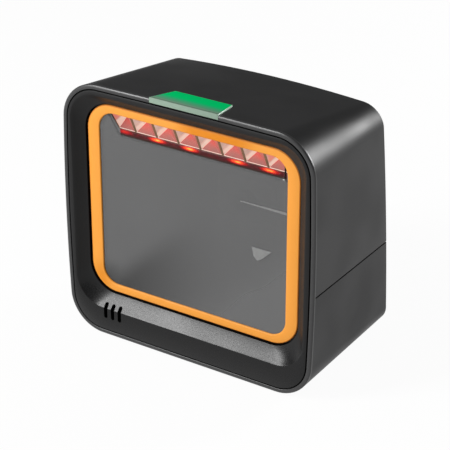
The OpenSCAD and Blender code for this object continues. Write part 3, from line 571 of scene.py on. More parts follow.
class Tree:
    """The node tree of one material, with short ways to add to it."""

    def __init__(self, name: str) -> None:
        """Makes an empty material.

        Args:
            name: The material's name.
        """
        self.material = bpy.data.materials.new(name)
        self.material.use_nodes = True
        self.nodes = self.material.node_tree.nodes
        self.nodes.clear()
        self.output = self.nodes.new("ShaderNodeOutputMaterial")
        self.place = self.nodes.new("ShaderNodeTexCoord").outputs["Object"]

    def link(self, source: Any, target: Any) -> None:
        """Joins an output to an input."""
        self.material.node_tree.links.new(source, target)

    def fill(self, socket: Any, value: Any) -> None:
        """Gives an input a value, or joins an output to it.

        Args:
            socket: The input.
            value: A plain value or an output.
        """
        if isinstance(value, bpy.types.NodeSocket):
            self.link(value, socket)
        else:
            socket.default_value = value

    def add(self, kind: str, inputs: dict[str, Any] | None = None, **settings: Any) -> bpy.types.Node:
        """Adds a node.

        Args:
            kind: The node's type, without its usual prefix.
            inputs: Values or outputs for its sockets, by name.
            settings: Its own settings.

        Returns:
            The new node.
        """
        node = self.nodes.new("ShaderNode" + kind)
        for name, value in settings.items():
            setattr(node, name, value)
        for name, value in (inputs or {}).items():
            self.fill(node.inputs[name], value)
        return node

    def noise(self, size_mm: float, detail: float = 2.0, place: Any = None) -> Any:
        """Makes noise with patches of a size.

        Args:
            size_mm: The size of its patches.
            detail: How fine it is within them.
            place: The coordinates that it follows, otherwise the piece's own.

        Returns:
            The noise, from 0 to 1.
        """
        where = self.place if place is None else place
        node = self.add("TexNoise", {"Vector": where, "Scale": 1 / (size_mm * MM), "Detail": detail})
        return node.outputs["Fac"]

    def flecks(self, size_mm: float, amount: float) -> Any:
        """Noise about nought, times an amount."""
        return self.math("MULTIPLY", self.math("SUBTRACT", self.noise(size_mm), 0.5), amount)

    def axis(self, name: str) -> Any:
        """One coordinate of the piece, in millimetres."""
        return self.math("DIVIDE", self.add("SeparateXYZ", {"Vector": self.place}).outputs[name], MM)

    def height(self) -> Any:
        """Height in the front frame, in millimetres."""
        return self.math("SUBTRACT", self.axis("Z"), FORM.foot_h + FORM.height / 2)

    def depth(self) -> Any:
        """Depth behind the front plane, in millimetres."""
        return self.math("ADD", self.axis("Y"), FORM.depth / 2)

    def across(self) -> Any:
        """Distance from the middle to the right, in millimetres."""
        return self.axis("X")

    def away_from(self, point: Span, reach: Span) -> Any:
        """Measures the distance from a point in x and height.

        Args:
            point: The point.
            reach: Half width and half height of the oval on which the distance is 1.

        Returns:
            The distance, as a share of the oval's reach.
        """
        squares = []
        for value, middle, radius in zip((self.across(), self.height()), point, reach):
            share = self.math("DIVIDE", self.math("SUBTRACT", value, middle), radius)
            squares.append(self.math("POWER", share, 2.0))
        return self.math("SQRT", self.math("ADD", *squares))

    def math(self, operation: str, first: Any, second: Any = 0.0) -> Any:
        """Adds one step of arithmetic.

        Args:
            operation: What it does.
            first: Its first value or output.
            second: Its second one, where it has two.

        Returns:
            The result.
        """
        node = self.add("Math", operation=operation)
        self.fill(node.inputs[0], first)
        self.fill(node.inputs[1], second)
        return node.outputs[0]

    def blend(self, first: Any, share: float, second: Any, other: float) -> Any:
        """The sum of two outputs, each times its own number."""
        return self.math("ADD", self.math("MULTIPLY", first, share), self.math("MULTIPLY", second, other))

    def spread(self, value: Any, low: float, high: float, source: Span = MOST) -> Any:
        """Maps a value from one span to another, clamped, with soft ends.

        Args:
            value: The output to map.
            low: The result at the source's start.
            high: The result at the source's end.
            source: The span that the value covers.

        Returns:
            The mapped value.
        """
        node = self.add("MapRange", {"Value": value, "From Min": source[0], "From Max": source[1],
                                     "To Min": low, "To Max": high}, interpolation_type="SMOOTHSTEP")
        return node.outputs["Result"]

    def ramp(self, factor: Any, stops: Stops) -> Any:
        """Lays colours along a factor.

        Args:
            factor: The output to follow.
            stops: Places between 0 and 1, each with its colour.

        Returns:
            The colour output.
        """
        node = self.add("ValToRGB", {"Fac": factor})
        elements = node.color_ramp.elements
        while len(elements) < len(stops):
            elements.new(0.5)
        for element, (place, colour) in zip(elements, stops):
            element.position = place
            element.color = (*colour, 1.0)
        return node.outputs["Color"]

    def shade(self, shader: bpy.types.Node) -> bpy.types.Material:
        """Ends the tree with a shader and returns the material."""
        self.link(shader.outputs[0], self.output.inputs["Surface"])
        return self.material

    def surface(self, colour: Any, roughness: Any, glow: float = 0.0,
                more: dict[str, Any] | None = None) -> bpy.types.Material:
        """Ends the tree with the usual surface shader.

        Args:
            colour: Its colour.
            roughness: Its roughness, as a number or an output.
            glow: Strength of its own light, in the same colour.
            more: Values or outputs for its other sockets, by name.

        Returns:
            The finished material.
        """
        shader = self.add("BsdfPrincipled", {"Base Color": colour, "Roughness": roughness, **(more or {})})
        if glow:
            self.fill(shader.inputs["Emission Color"], colour)
            self.fill(shader.inputs["Emission Strength"], glow)
        return self.shade(shader)


def tone(colour: Colour, factor: float) -> Colour:
    """A colour made lighter or darker."""
    return tuple(min(channel * factor, 1.0) for channel in colour)


@dataclass(frozen=True)
class Finish:
    """A finish by its name, which adds its nodes to the tree of its material."""

    name: str

    def dress(self, tree: Tree) -> bpy.types.Material:
        """Adds the finish's nodes to an empty tree and returns the material."""
        raise NotImplementedError

    def material(self) -> bpy.types.Material:
        """Builds the material."""
        return self.dress(Tree(self.name))


@dataclass(frozen=True)
class Plastic(Finish):
    """Moulded plastic with a fine eroded grain."""

    colour: Colour
    roughness: float = 0.45
    specular: float = 0.5
    grain_mm: float = 0.5
    grain_depth: float = 0.02
    mottle: float = 0.12
    coat: float = 0.0
    glow: float = 0.0
    polish: float = 0.0
    polish_reach: Span = (-54.0, -38.0)
    fleck: float = 0.02
    drift_mm: float = 38.0
    drift_rough: float = 0.04
    grain_share: float = 0.75
    bump: float = 0.6
    tones_at: Span = (0.35, 0.65)

    def worn(self, tree: Tree, grain: Any, drift: Any) -> Any:
        """Makes a roughness that drifts and has flecks, and is less by the polish below a height.

        Args:
            tree: The material's tree.
            grain: The fine noise.
            drift: The broad noise.

        Returns:
            The roughness.
        """
        flecks = tree.spread(grain, -self.fleck, self.fleck)
        plain = tree.spread(drift, self.roughness - self.drift_rough, self.roughness + self.drift_rough)
        rough = tree.math("ADD", plain, flecks)
        if not self.polish:
            return rough
        return tree.math("SUBTRACT", rough, tree.spread(tree.height(), self.polish, 0.0, self.polish_reach))

    def tint(self, tree: Tree, mixed: Any) -> Any:
        """Colour that varies with the mixed noise."""
        tones = (tone(self.colour, 1 - self.mottle), tone(self.colour, 1 + self.mottle))
        return tree.ramp(mixed, list(zip(self.tones_at, tones)))

    def dress(self, tree: Tree) -> bpy.types.Material:
        """Adds the grain, a broad drift of tone and gloss, and the bump of the grain.

        Args:
            tree: The material's empty tree.

        Returns:
            The finished material.
        """
        grain = tree.noise(self.grain_mm, FINE)
        drift = tree.noise(self.drift_mm, BROAD)
        mixed = tree.blend(grain, self.grain_share, drift, 1 - self.grain_share)
        bump = tree.add("Bump", {"Height": grain, "Strength": self.bump, "Distance": self.grain_depth * MM})
        return tree.surface(self.tint(tree, mixed), self.worn(tree, grain, drift), self.glow, {
            "Normal": bump.outputs["Normal"],
            "Specular IOR Level": self.specular,
            "Coat Weight": self.coat,
        })


@dataclass(frozen=True)
class RingPlastic(Plastic):
    """Orange plastic of the light ring, with painted shade: deeper along its upper bar and a little at its
    lower left.
    """

    deep: Colour = (0.57, 0.18, 0.002)
    deep_at: Span = (16.0, 63.0)
    deep_reach: Span = (30.0, 10.0)
    deep_edge: Span = (0.45, 1.0)
    low_at: Span = (-63.0, -45.0)
    low_reach: Span = (10.0, 17.0)
    low_edge: Span = (0.1, 1.0)
    low_share: float = 0.2
    plain_at: float = 0.9
    noise_share: float = 0.1

    def tint(self, tree: Tree, mixed: Any) -> Any:
        """Makes a colour that goes from the deep tone of the painted shade to the ring's own.

        Args:
            tree: The material's tree.
            mixed: The mixed noise.

        Returns:
            The colour.
        """
        # Painted shade: the deep tone on the upper bar and at the lower left.
        upper = tree.spread(tree.away_from(self.deep_at, self.deep_reach), 0.0, self.plain_at, self.deep_edge)
        lower = tree.away_from(self.low_at, self.low_reach)
        lower = tree.spread(lower, self.low_share, self.plain_at, self.low_edge)
        noise = tree.math("MULTIPLY", mixed, self.noise_share)
        level = tree.math("ADD", tree.math("MINIMUM", upper, lower), noise)
        return tree.ramp(level, [(0.0, self.deep), (self.plain_at, self.colour),
                                 (1.0, tone(self.colour, 1 + self.mottle))])


@dataclass(frozen=True)
class Metal(Finish):
    """Plated metal with fine drawn lines."""

    colour: Colour
    roughness: float = 0.3
    line_mm: float = 0.3
    stretch: float = 0.12
    line_tone: float = 0.85
    wear: Span = (-0.06, 0.08)

    def dress(self, tree: Tree) -> bpy.types.Material:
        """Adds the drawn lines to the tone and to the gloss.

        Args:
            tree: The material's empty tree.

        Returns:
            The finished material.
        """
        scale = (1.0, self.stretch, 1.0)
        stretched = tree.add("Mapping", {"Vector": tree.place, "Scale": scale}).outputs["Vector"]
        lines = tree.noise(self.line_mm, place=stretched)
        colour = tree.ramp(lines, list(zip(MOST, (tone(self.colour, self.line_tone), self.colour))))
        rough = tree.spread(lines, *(self.roughness + wear for wear in self.wear))
        return tree.surface(colour, rough, more={"Metallic": 1.0})


@dataclass(frozen=True)
class HazyWindow(Finish):
    """Coated window glass: a pale haze with painted shade in a dark streak and corner and painted light to
    the lower right, thin where the lit row shines through.
    """

    name: str = "window_glass_hazy"
    colour: Colour = (0.081, 0.0815, 0.082)
    haze: float = 0.82
    thin_haze: float = 0.03
    thins: Span = (46.0, 48.3)
    thins_beside: Span = (-48.4, -46.6)
    beside_from: float = 47.0
    beside_lean: float = 0.64
    streak_start: Span = (-42.0, -40.0)
    streak_angle: float = math.radians(42)
    streak_fade: Span = (-35.0, 85.0)
    streak_above: Span = (-14.0, 1.0)
    streak_below: Span = (-1.0, 54.0)
    streak_tone: float = 0.12
    lift: float = 0.19
    lift_from: Span = (22.0, 60.0)
    corner: Span = (-56.0, -46.0)
    corner_reach: Span = (16.0, 14.0)
    corner_edge: Span = (0.2, 1.3)
    corner_dark: float = 0.7
    tones_at: tuple[float, float, float] = (0.05, 0.85, 0.95)
    light_share: float = 0.8
    drift_share: float = 0.1
    drift_mm: float = 46.0
    roughness: float = 0.08
    smear: float = 0.04

    def streak(self, tree: Tree) -> Any:
        """Lays painted shade, a dark streak that rises from the lower left and a dark corner there, and
        painted light, a paler lower right.

        Args:
            tree: The material's tree.

        Returns:
            How dark the painted shade makes the glass: up to 1 in the streak, and less than 0 where the
            painted light makes it paler.
        """
        # Painted shade: the streak and the dark corner; painted light: the lift that makes the lower right
        # paler.
        right = tree.math("SUBTRACT", tree.across(), self.streak_start[0])
        up = tree.math("SUBTRACT", tree.height(), self.streak_start[1])
        cos = math.cos(self.streak_angle)
        sin = math.sin(self.streak_angle)
        along = tree.blend(right, cos, up, sin)
        below = tree.blend(right, sin, up, -cos)
        band = tree.math("MULTIPLY", tree.spread(below, 0.0, 1.0, self.streak_above),
                         tree.spread(below, 1.0, 0.0, self.streak_below))
        dark = tree.math("MULTIPLY", band, tree.spread(along, 1.0, 0.0, self.streak_fade))
        corner = tree.away_from(self.corner, self.corner_reach)
        corner = tree.spread(corner, self.corner_dark, 0.0, self.corner_edge)
        lift = tree.spread(below, 0.0, self.lift, self.lift_from)
        return tree.math("SUBTRACT", tree.math("MAXIMUM", dark, corner), lift)

    def cover(self, tree: Tree) -> Any:
        """Spreads the haze over the pane, but for the part in front of the row and the strip.

        Args:
            tree: The material's tree.

        Returns:
            How much the haze covers, from 0 to 1.
        """
        height = tree.height()
        lean = tree.math("MULTIPLY", tree.math("SUBTRACT", height, self.beside_from), self.beside_lean)
        beside = tree.math("ADD", tree.across(), lean)
        return tree.math("MAXIMUM", tree.spread(height, self.haze, self.thin_haze, self.thins),
                         tree.spread(beside, self.haze, self.thin_haze, self.thins_beside))

    def dress(self, tree: Tree) -> bpy.types.Material:
        """Adds the haze, its painted shade and painted light, and a faint smear.

        Args:
            tree: The material's empty tree.

        Returns:
            The finished material.
        """
        drift = tree.noise(self.drift_mm, BROAD)
        light = tree.math("SUBTRACT", 1.0, self.streak(tree))
        mixed = tree.blend(light, self.light_share, drift, self.drift_share)
        tones = (tone(self.colour, self.streak_tone), self.colour, tone(self.colour, 1 + self.lift))
        colour = tree.ramp(mixed, list(zip(self.tones_at, tones)))
        rough = tree.spread(drift, self.roughness, self.roughness + self.smear)
        return tree.surface(colour, rough, more={"Alpha": self.cover(tree)})


@dataclass(frozen=True)
class ChamberGrey(Finish):
    """Matt grey inside of the scan chamber, with a painted glow in place of the even light of its lamps, and
    a black flange in front.
    """

    name: str = "chamber_grey"
    flange: Colour = (0.003, 0.003, 0.003)
    inside: Colour = (0.05, 0.05, 0.0505)
    inside_tone: float = 0.95
    ends: Span = (0.965, 0.99)
    squareness: float = 6.0
    plain_at: float = 0.9
    patch_mm: float = 14.0
    patch_share: float = 0.1
    glow: float = 3.0
    roughness: float = 0.7
    specular: float = 0.1

    def dress(self, tree: Tree) -> bpy.types.Material:
        """Adds the grey in soft patches and the black outside a squarish oval.

        Args:
            tree: The material's empty tree.

        Returns:
            The finished material.
        """
        middle = (DISH.ring_top + DISH.ring_base) / 2
        shares = [tree.math("DIVIDE", tree.across(), DISH.ring_half_w),
                  tree.math("DIVIDE", tree.math("SUBTRACT", tree.height(), middle), DISH.ring_top - middle)]
        powers = [tree.math("POWER", tree.math("ABSOLUTE", share), self.squareness) for share in shares]
        reach = tree.math("POWER", tree.math("ADD", *powers), 1 / self.squareness)
        inner = tree.spread(reach, self.plain_at, 0.0, self.ends)
        level = tree.math("ADD", inner, tree.math("MULTIPLY", tree.noise(self.patch_mm), self.patch_share))
        colour = tree.ramp(level, [(self.patch_share, self.flange),
                                   (self.plain_at, tone(self.inside, self.inside_tone)), (1.0, self.inside)])
        # The grey glows though it is no lamp: painted light.
        return tree.surface(colour, self.roughness, self.glow, {"Specular IOR Level": self.specular})


@dataclass(frozen=True)
class TabGlow(Finish):
    """Clear green plastic with painted light: a faint glow, deeper green at its back, where the lamp below
    lights it, and pale towards its front edge.
    """

    name: str = "status_tab_green"
    stops: Stops = (
        (0.0, (0.2, 0.268, 0.214)),
        (0.01, (0.184, 0.246, 0.196)),
        (0.02, (0.09, 0.138, 0.102)),
        (0.06, (0.11, 0.18, 0.13)),
        (0.12, (0.13, 0.25, 0.165)),
        (0.2, (0.085, 0.25, 0.145)),
        (0.32, (0.05, 0.3, 0.14)),
        (0.45, (0.012, 0.38, 0.135)),
        (0.58, (0.001, 0.46, 0.12)),
    )
    reach: float = 19.5
    glow: float = 0.1
    ripple_mm: float = 2.2
    ripple: float = 0.02
    gloss_mm: float = 6.0
    gloss: Span = (0.34, 0.42)

    def dress(self, tree: Tree) -> bpy.types.Material:
        """Adds the painted fade from the front to the back, a little rippled.

        Args:
            tree: The material's empty tree.

        Returns:
            The finished material.
        """
        # Painted light: the tab's glow and tone fade from front to back.
        along = tree.math("DIVIDE", tree.depth(), self.reach)
        colour = tree.ramp(tree.math("ADD", along, tree.flecks(self.ripple_mm, self.ripple)), self.stops)
        rough = tree.spread(tree.noise(self.gloss_mm), *self.gloss)
        return tree.surface(colour, rough, self.glow, {"Specular IOR Level": 0.0})


@dataclass(frozen=True)
class GlowStrip(Finish):
    """A clear red bar that glows, with painted shadow on its brown foot and a painted glow where each lamp
    behind it shows through.
    """

    name: str = "light_strip_red"
    spots: tuple[Span, ...] = ((-51.0, 0.42), (-28.4, 0.95), (-7.0, 0.97), (23.8, 0.93), (44.0, 0.93))
    spot_height: float = 45.9
    spot_share: float = 0.78
    halo: Span = (8.0, 1.9)
    foot: Span = (43.3, 44.9)
    foot_share: float = 0.22
    stops: Stops = (
        (0.0, (0.016, 0.011, 0.007)),
        (0.22, (0.04, 0.007, 0.008)),
        (0.46, (0.24, 0.005, 0.007)),
        (0.8, (0.66, 0.05, 0.014)),
        (1.0, (0.9, 0.38, 0.055)),
    )
    strength: float = 1.1
    fleck_mm: float = 1.6
    fleck: float = 0.2
    roughness: float = 0.3
    specular: float = 0.2

    def dress(self, tree: Tree) -> bpy.types.Material:
        """Adds the painted shadow of the brown foot, the red above it and the painted glowing spots.

        Args:
            tree: The material's empty tree.

        Returns:
            The finished material.
        """
        # Painted light: a glow round each spot where a lamp shows through; painted shadow: darker along the
        # foot.
        near: Any = 0.0
        for place, power in self.spots:
            away = tree.away_from((place, self.spot_height), self.halo)
            near = tree.math("MAXIMUM", tree.spread(away, power, 0.0, (0.0, 1.0)), near)
        rise = tree.spread(tree.height(), 0.0, self.foot_share, self.foot)
        glow = tree.math("ADD", tree.math("MULTIPLY", near, self.spot_share), rise)
        colour = tree.ramp(tree.math("ADD", glow, tree.flecks(self.fleck_mm, self.fleck)), self.stops)
        return tree.surface(colour, self.roughness, self.strength, {"Specular IOR Level": self.specular})


@dataclass(frozen=True)
class MirrorCoat(Finish):
    """Metallised plastic of a reflector facet, with painted reflections of the strip's light: a dimmer tone
    lower down, and a painted glow.
    """

    colour: Colour
    dim_reflection: Colour
    roughness: float = 0.35
    glow: float = 0.55
    reach: Span = (46.5, 59.5)
    metal: float = 0.35
    patch_mm: float = 4.5
    share: float = 0.55
    tones_at: Span = (0.2, 0.75)

    def level(self, tree: Tree) -> Any:
        """How bright the painted reflection is, from 0 to 1: more so higher up."""
        return tree.spread(tree.height(), 0.0, 1.0, self.reach)

    def patchy(self, tree: Tree, level: Any) -> Any:
        """A level mixed with soft patches."""
        return tree.blend(level, self.share, tree.noise(self.patch_mm, FINE), self.share)

    def tint(self, tree: Tree) -> Any:
        """Colour from the dim painted reflection to the bright one."""
        tones = (self.dim_reflection, self.colour)
        return tree.ramp(self.patchy(tree, self.level(tree)), list(zip(self.tones_at, tones)))

    def dress(self, tree: Tree) -> bpy.types.Material:
        """Adds the coat's painted tones, half metal and half painted glow."""
        return tree.surface(self.tint(tree), self.roughness, self.glow, {"Metallic": self.metal})


@dataclass(frozen=True)
class SideCoat(MirrorCoat):
    """Coat of the cups' side facets, with painted reflections: a painted highlight along the slanting edge,
    redder at the ends of the row.
    """

    patch_mm: float = 3.0
    share: float = 0.5
    tones_at: Span = (0.17, 0.74)
    blush: Colour = (0.8, 0.25, 0.19)
    blush_at: float = 0.06
    blush_from: Span = (42.5, 45.5)
    blush_share: float = 0.2
    foot: float = 48.7
    lean: float = 1.1
    band: Span = (0.0, 2.0)

    def level(self, tree: Tree) -> Any:
        """Measures how close a point is to the slanting edge of its cup.

        Args:
            tree: The material's tree.

        Returns:
            The closeness, from 0 to 1.
        """
        start = tree.math("ADD", tree.across(), ROW.half_w)
        right = tree.math("MULTIPLY", tree.math("MODULO", start, ROW.pitch), self.lean)
        above = tree.math("SUBTRACT", tree.math("SUBTRACT", tree.height(), self.foot), right)
        return tree.spread(above, 1.0, 0.0, self.band)

    def tint(self, tree: Tree) -> Any:
        """Makes a colour from the red blush at the row's ends to the dim and the bright painted reflection.

        Args:
            tree: The material's tree.

        Returns:
            The colour.
        """
        level = self.level(tree)
        inner = tree.spread(tree.math("ABSOLUTE", tree.across()), 1.0, self.blush_share, self.blush_from)
        mixed = tree.math("MULTIPLY", self.patchy(tree, level), tree.math("MAXIMUM", inner, level))
        tones = (self.blush, self.dim_reflection, self.colour)
        return tree.ramp(mixed, list(zip((self.blush_at, *self.tones_at), tones)))


@dataclass(frozen=True)
class CircuitBoard(Finish):
    """Green solder resist with faint copper tracks under it."""

    name: str = "board_green"
    resist: Colour = (0.01, 0.09, 0.03)
    resist_tone: float = 1.3
    track: Colour = (0.03, 0.2, 0.07)
    cell_mm: float = 6.4
    track_share: float = 0.03
    gloss_mm: float = 0.8
    gloss: Span = (0.25, 0.35)

    def dress(self, tree: Tree) -> bpy.types.Material:
        """Adds the tracks as the joints between cells of resist.

        Args:
            tree: The material's empty tree.

        Returns:
            The finished material.
        """
        tracks = tree.add("TexBrick", {
            "Vector": tree.place,
            "Scale": 1 / (self.cell_mm * MM),
            "Color1": (*self.resist, 1.0),
            "Color2": (*tone(self.resist, self.resist_tone), 1.0),
            "Mortar": (*self.track, 1.0),
            "Mortar Size": self.track_share,
        })
        return tree.surface(tracks.outputs["Color"], tree.spread(tree.noise(self.gloss_mm), *self.gloss))


@dataclass(frozen=True)
class Lamp(Finish):
    """The clear cap of a small lamp that is switched on; the rivet's painted glint, which is no lamp, uses it
    too.
    """

    colour: Colour
    strength: float = 3.0
    patch_mm: float = 0.9
    dim: float = 0.7
    roughness: float = 0.2

    def dress(self, tree: Tree) -> bpy.types.Material:
        """Adds a glow in soft patches."""
        stops = list(zip(MOST, (tone(self.colour, self.dim), self.colour)))
        return tree.surface(tree.ramp(tree.noise(self.patch_mm), stops), self.roughness, self.strength)


class Finishes:
    """The finishes of the scanner, one for each kind of surface."""

    HOUSING = Plastic("housing_grain", (0.012, 0.012, 0.0125), roughness=0.42, specular=0.155)
    COVER = Plastic("cover_grain", (0.0115, 0.0115, 0.012), roughness=0.43, specular=0.12)
    BEZEL = Plastic("bezel_grain", (0.006, 0.006, 0.0062), roughness=0.46, specular=0.225, grain_mm=0.45,
                    grain_depth=0.025, polish=0.21, fleck=0.06)
    # The rim is the bezel's own plastic made lighter: painted light on its band, with a glossier satin.
    RIM = Plastic("rim_satin_painted_light", (0.026, 0.026, 0.0265), roughness=0.35, specular=0.44, grain_mm=0.45,
                  grain_depth=0.01)
    # Black for the groove, the well behind the dish, the slots and the seam's shadow line: painted shade in
    # these recesses; also the strip clip's own black.
    GROOVE = Plastic("groove_black", (0.002, 0.002, 0.002), roughness=0.6, specular=0.1)
    RING = RingPlastic("ring_orange", (0.67, 0.265, 0.036), roughness=0.4, specular=0.22, grain_mm=0.4,
                       grain_depth=0.004, mottle=0.03)
    # Darker orange for the ring's side faces: painted shade.
    RING_SIDE = Plastic("ring_side_deep", (0.45, 0.15, 0.02), roughness=0.55, specular=0.15, grain_mm=0.4,
                        grain_depth=0.004, mottle=0.03)
    CHAMBER = ChamberGrey()
    WEB = Plastic("reflector_web", (0.24, 0.135, 0.075), roughness=0.5, specular=0.1)
    # Pale finish on the tab's rounded edges: a painted highlight.
    TAB_EDGE = Plastic("tab_edge_pale", (0.5, 0.68, 0.56), roughness=0.25, specular=0.4, grain_mm=0.8,
                       grain_depth=0.004, mottle=0.06)
    SOCKET = Plastic("socket_black", (0.012, 0.012, 0.012), roughness=0.4, specular=0.4)
    IVORY = Plastic("connector_ivory", (0.7, 0.66, 0.55), roughness=0.45, specular=0.4)
    RIBBON = Plastic("ribbon_cream", (0.6, 0.54, 0.38), roughness=0.4, specular=0.4)
    LEAD = Plastic("lead_red", (0.3, 0.03, 0.025), roughness=0.4, specular=0.4)
    CHIP = Plastic("chip_black", (0.015, 0.015, 0.017), roughness=0.5, specular=0.3)
    # The barrel and holder glow though they are no lamps: painted light.
    BARREL = Plastic("barrel_grey", (0.04, 0.04, 0.041), roughness=0.6, specular=0.1, glow=1.5)
    CONE = Plastic("cone_paper", (0.02, 0.019, 0.018), roughness=0.8, specular=0.1, grain_mm=1.2,
                   grain_depth=0.05, mottle=0.2)
    FOAM = Plastic("gasket_foam", (0.012, 0.012, 0.012), roughness=0.9, specular=0.1, grain_mm=0.8,
                   grain_depth=0.08, mottle=0.3)
    FOOT = Plastic("foot_rubber", (0.009, 0.009, 0.01), roughness=0.75, specular=0.25, grain_mm=0.7,
                   grain_depth=0.05, mottle=0.2)
    AIMER = Plastic("aimer_smoke", (0.06, 0.04, 0.04), roughness=0.3, specular=0.2, grain_mm=0.8,
                    grain_depth=0.004, glow=1.2)
    # The lens glows though it is no lamp: painted light.
    LENS = Plastic("lens_coated", (0.035, 0.037, 0.042), roughness=0.12, specular=0.5, grain_mm=1.5,
                   grain_depth=0.001, mottle=0.1, coat=0.3, glow=1.2)
    SENSOR = Plastic("sensor_dark", (0.02, 0.025, 0.03), roughness=0.15, specular=0.6, grain_mm=0.4,
                     grain_depth=0.001, mottle=0.2)
    STEEL = Metal("screw_steel", (0.5, 0.51, 0.53))
    GOLD = Metal("contact_gold", (0.8, 0.55, 0.2), roughness=0.25)
    CAN = Metal("speaker_can", (0.2, 0.2, 0.22), roughness=0.4)
    WINDOW = HazyWindow()
    TAB = TabGlow()
    STRIP = GlowStrip()
    BOARD = CircuitBoard()
    # Lit and shaded copies of one coat, one for each way a facet faces, each with a painted glow: painted
    # reflections of the strip's light.
    FACET_SIDE = SideCoat("facet_bright", (0.95, 0.62, 0.51), dim_reflection=(0.54, 0.35, 0.29), roughness=0.35,
                          glow=0.66)
    FACET_FLOOR = MirrorCoat("facet_rose", (0.46, 0.06, 0.045), dim_reflection=(0.25, 0.09, 0.075),
                             reach=(48.6, 55.0))
    FACET_OTHER = MirrorCoat("facet_dim", (0.45, 0.14, 0.12), dim_reflection=(0.3, 0.07, 0.06))
    FACET_EDGE = MirrorCoat("facet_edge", (0.95, 0.8, 0.72), dim_reflection=(0.85, 0.6, 0.52))
    PAINTED_GLINT = Lamp("rivet_painted_glint", (0.8, 0.82, 0.8), strength=1.4)
    # Pale grey film on the glass: painted reflections.
    REFLECTION_FILM = Plastic("window_painted_reflection", (0.17, 0.172, 0.17), roughness=0.2, specular=0.4, grain_mm=0.8,
                   grain_depth=0.004)
    LAMP_WARM = Lamp("lamp_warm", (1.0, 0.5, 0.12))
    LAMP_GREEN = Lamp("lamp_green", (0.05, 0.8, 0.3), strength=1.5)


def piece(name: str, bm: bmesh.types.BMesh, finishes: Sequence[Finish],
          stands_for: Sequence[str] = (), angle: float = SMOOTH_UP_TO) -> bpy.types.Object:
    """Turns a mesh in the front frame into a finished piece of the scanner.

    Args:
        name: The piece's name.
        bm: Its mesh, which is used up.
        finishes: One finish for each material index of the mesh.
        stands_for: The nodes that it replaces.
        angle: Edges sharper than this stay crisp.

    Returns:
        The new object.
    """
    bmesh.ops.remove_doubles(bm, verts=bm.verts[:], dist=WELD)
    bmesh.ops.recalc_face_normals(bm, faces=bm.faces[:])
    to_frame(bm)
    mesh = bpy.data.meshes.new(name)
    bm.to_mesh(mesh)
    bm.free()
    mesh.shade_smooth()
    mesh.set_sharp_from_angle(angle=angle)
    obj = bpy.data.objects.new(name, mesh)
    bpy.context.scene.collection.objects.link(obj)
    for finish in finishes:
        mesh.materials.append(finish.material())
    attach(obj, BODY)
    if stands_for:
        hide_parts(*stands_for)
    LOG.info("%s: %d faces", name, len(mesh.polygons))
    return obj


@dataclass
class StatusTab:
    """The green tab that wraps over the top edge."""

    width: float = 44.0
    back_width: float = 36.8
    length: float = 19.5
    proud: float = 0.8
    bed: float = 0.02
    edge: float = 0.35
    front_reach: float = 1.0
    lip_drop: float = 0.3
    lip_edge: float = 0.25
    stem_w: float = 10.0
    stem_depths: Span = (15.0, 19.0)
    stem_heights: Span = (60.0, 90.0)
    flat_from: float = 0.985
    front_from: float = 0.2
    side_from: float = 0.5

    def on_top(self) -> Matrix:
        """Placing of what lies on the sloping top, from its front edge."""
        return Matrix.Translation((0.0, 0.0, FORM.front_top)) @ Matrix.Rotation(-FORM.top_angle, 4, "X")

    def plate(self, gap: float, low: float, high: float) -> bmesh.types.BMesh:
        """Makes a plate of the tab's outline, lying on the top.

        Args:
            gap: How much wider it is all round.
            low: Its lower face, from the top.
            high: Its upper face, from the top.

        Returns:
            The plate's mesh.
        """
        bm = bmesh.new()
        front = self.width / 2 + gap
        back = self.back_width / 2 + gap
        corners = ((-front, -gap), (front, -gap), (back, self.length + gap), (-back, self.length + gap))
        face = bm.faces.new([bm.verts.new((x, depth, low)) for x, depth in corners])
        raise_faces(bm, [face], (0.0, 0.0, high - low))
        bmesh.ops.transform(bm, matrix=self.on_top(), verts=bm.verts[:])
        return bm

    def recess(self) -> bmesh.types.BMesh:
        """The space that the tab takes in the top."""
        return self.plate(FORM.fit, -self.proud, 3 * self.proud)

    def notch(self) -> bmesh.types.BMesh:
        """The space that the tab's lip takes in the rim."""
        half = self.width / 2 + FORM.fit
        return box((-half, -CLEAR, FORM.front_top - FORM.rim_w),
                   (half, FORM.rim_t + FORM.fit, FORM.front_top + 2 * CLEAR))

    def stem_hole(self) -> bmesh.types.BMesh:
        """The space that the tab's stem takes in the housing."""
        half = self.stem_w / 2 + FORM.fit
        return box((-half, self.stem_depths[0] - FORM.fit, self.stem_heights[0]),
                   (half, self.stem_depths[1] + FORM.fit, self.stem_heights[1]))

    def build(self) -> bpy.types.Object:
        """Builds the tab with its lip over the front edge and a painted highlight on its rounded edges.

        Returns:
            The tab's object.
        """
        top = self.plate(0.0, -self.proud + self.bed, self.proud)
        for vert in top.verts:
            if vert.co.y < self.front_reach:
                vert.co.y = 0.0
        bmesh.ops.recalc_face_normals(top, faces=top.faces[:])
        half = self.width / 2
        lip = box((-half, 0.0, FORM.front_top - FORM.rim_w + FORM.fit),
                  (half, FORM.rim_t - FORM.fit, FORM.front_top - self.lip_drop))
        soften(top, sharp_edges(top), self.edge, segments=3)
        soften(lip, sharp_edges(lip), self.lip_edge)
        whole = join(top, lip)
        # The rounded edges take the pale finish: a painted highlight.
        paint(face for face in whole.faces if self.is_edge(face.normal))
        return piece("status_tab", whole, [Finishes.TAB, Finishes.TAB_EDGE], ["status_light"])

    def is_edge(self, normal: Vector) -> bool:
        """Tells whether a face is one of the rounded edges that aren't seen from the front.

        Args:
            normal: The face's normal.

        Returns:
            False for a flat face and for what faces forwards.
        """
        flat = max(abs(share) for share in normal) > self.flat_from
        in_front = normal.y < -self.front_from and abs(normal.x) < self.side_from
        return not (flat or in_front)


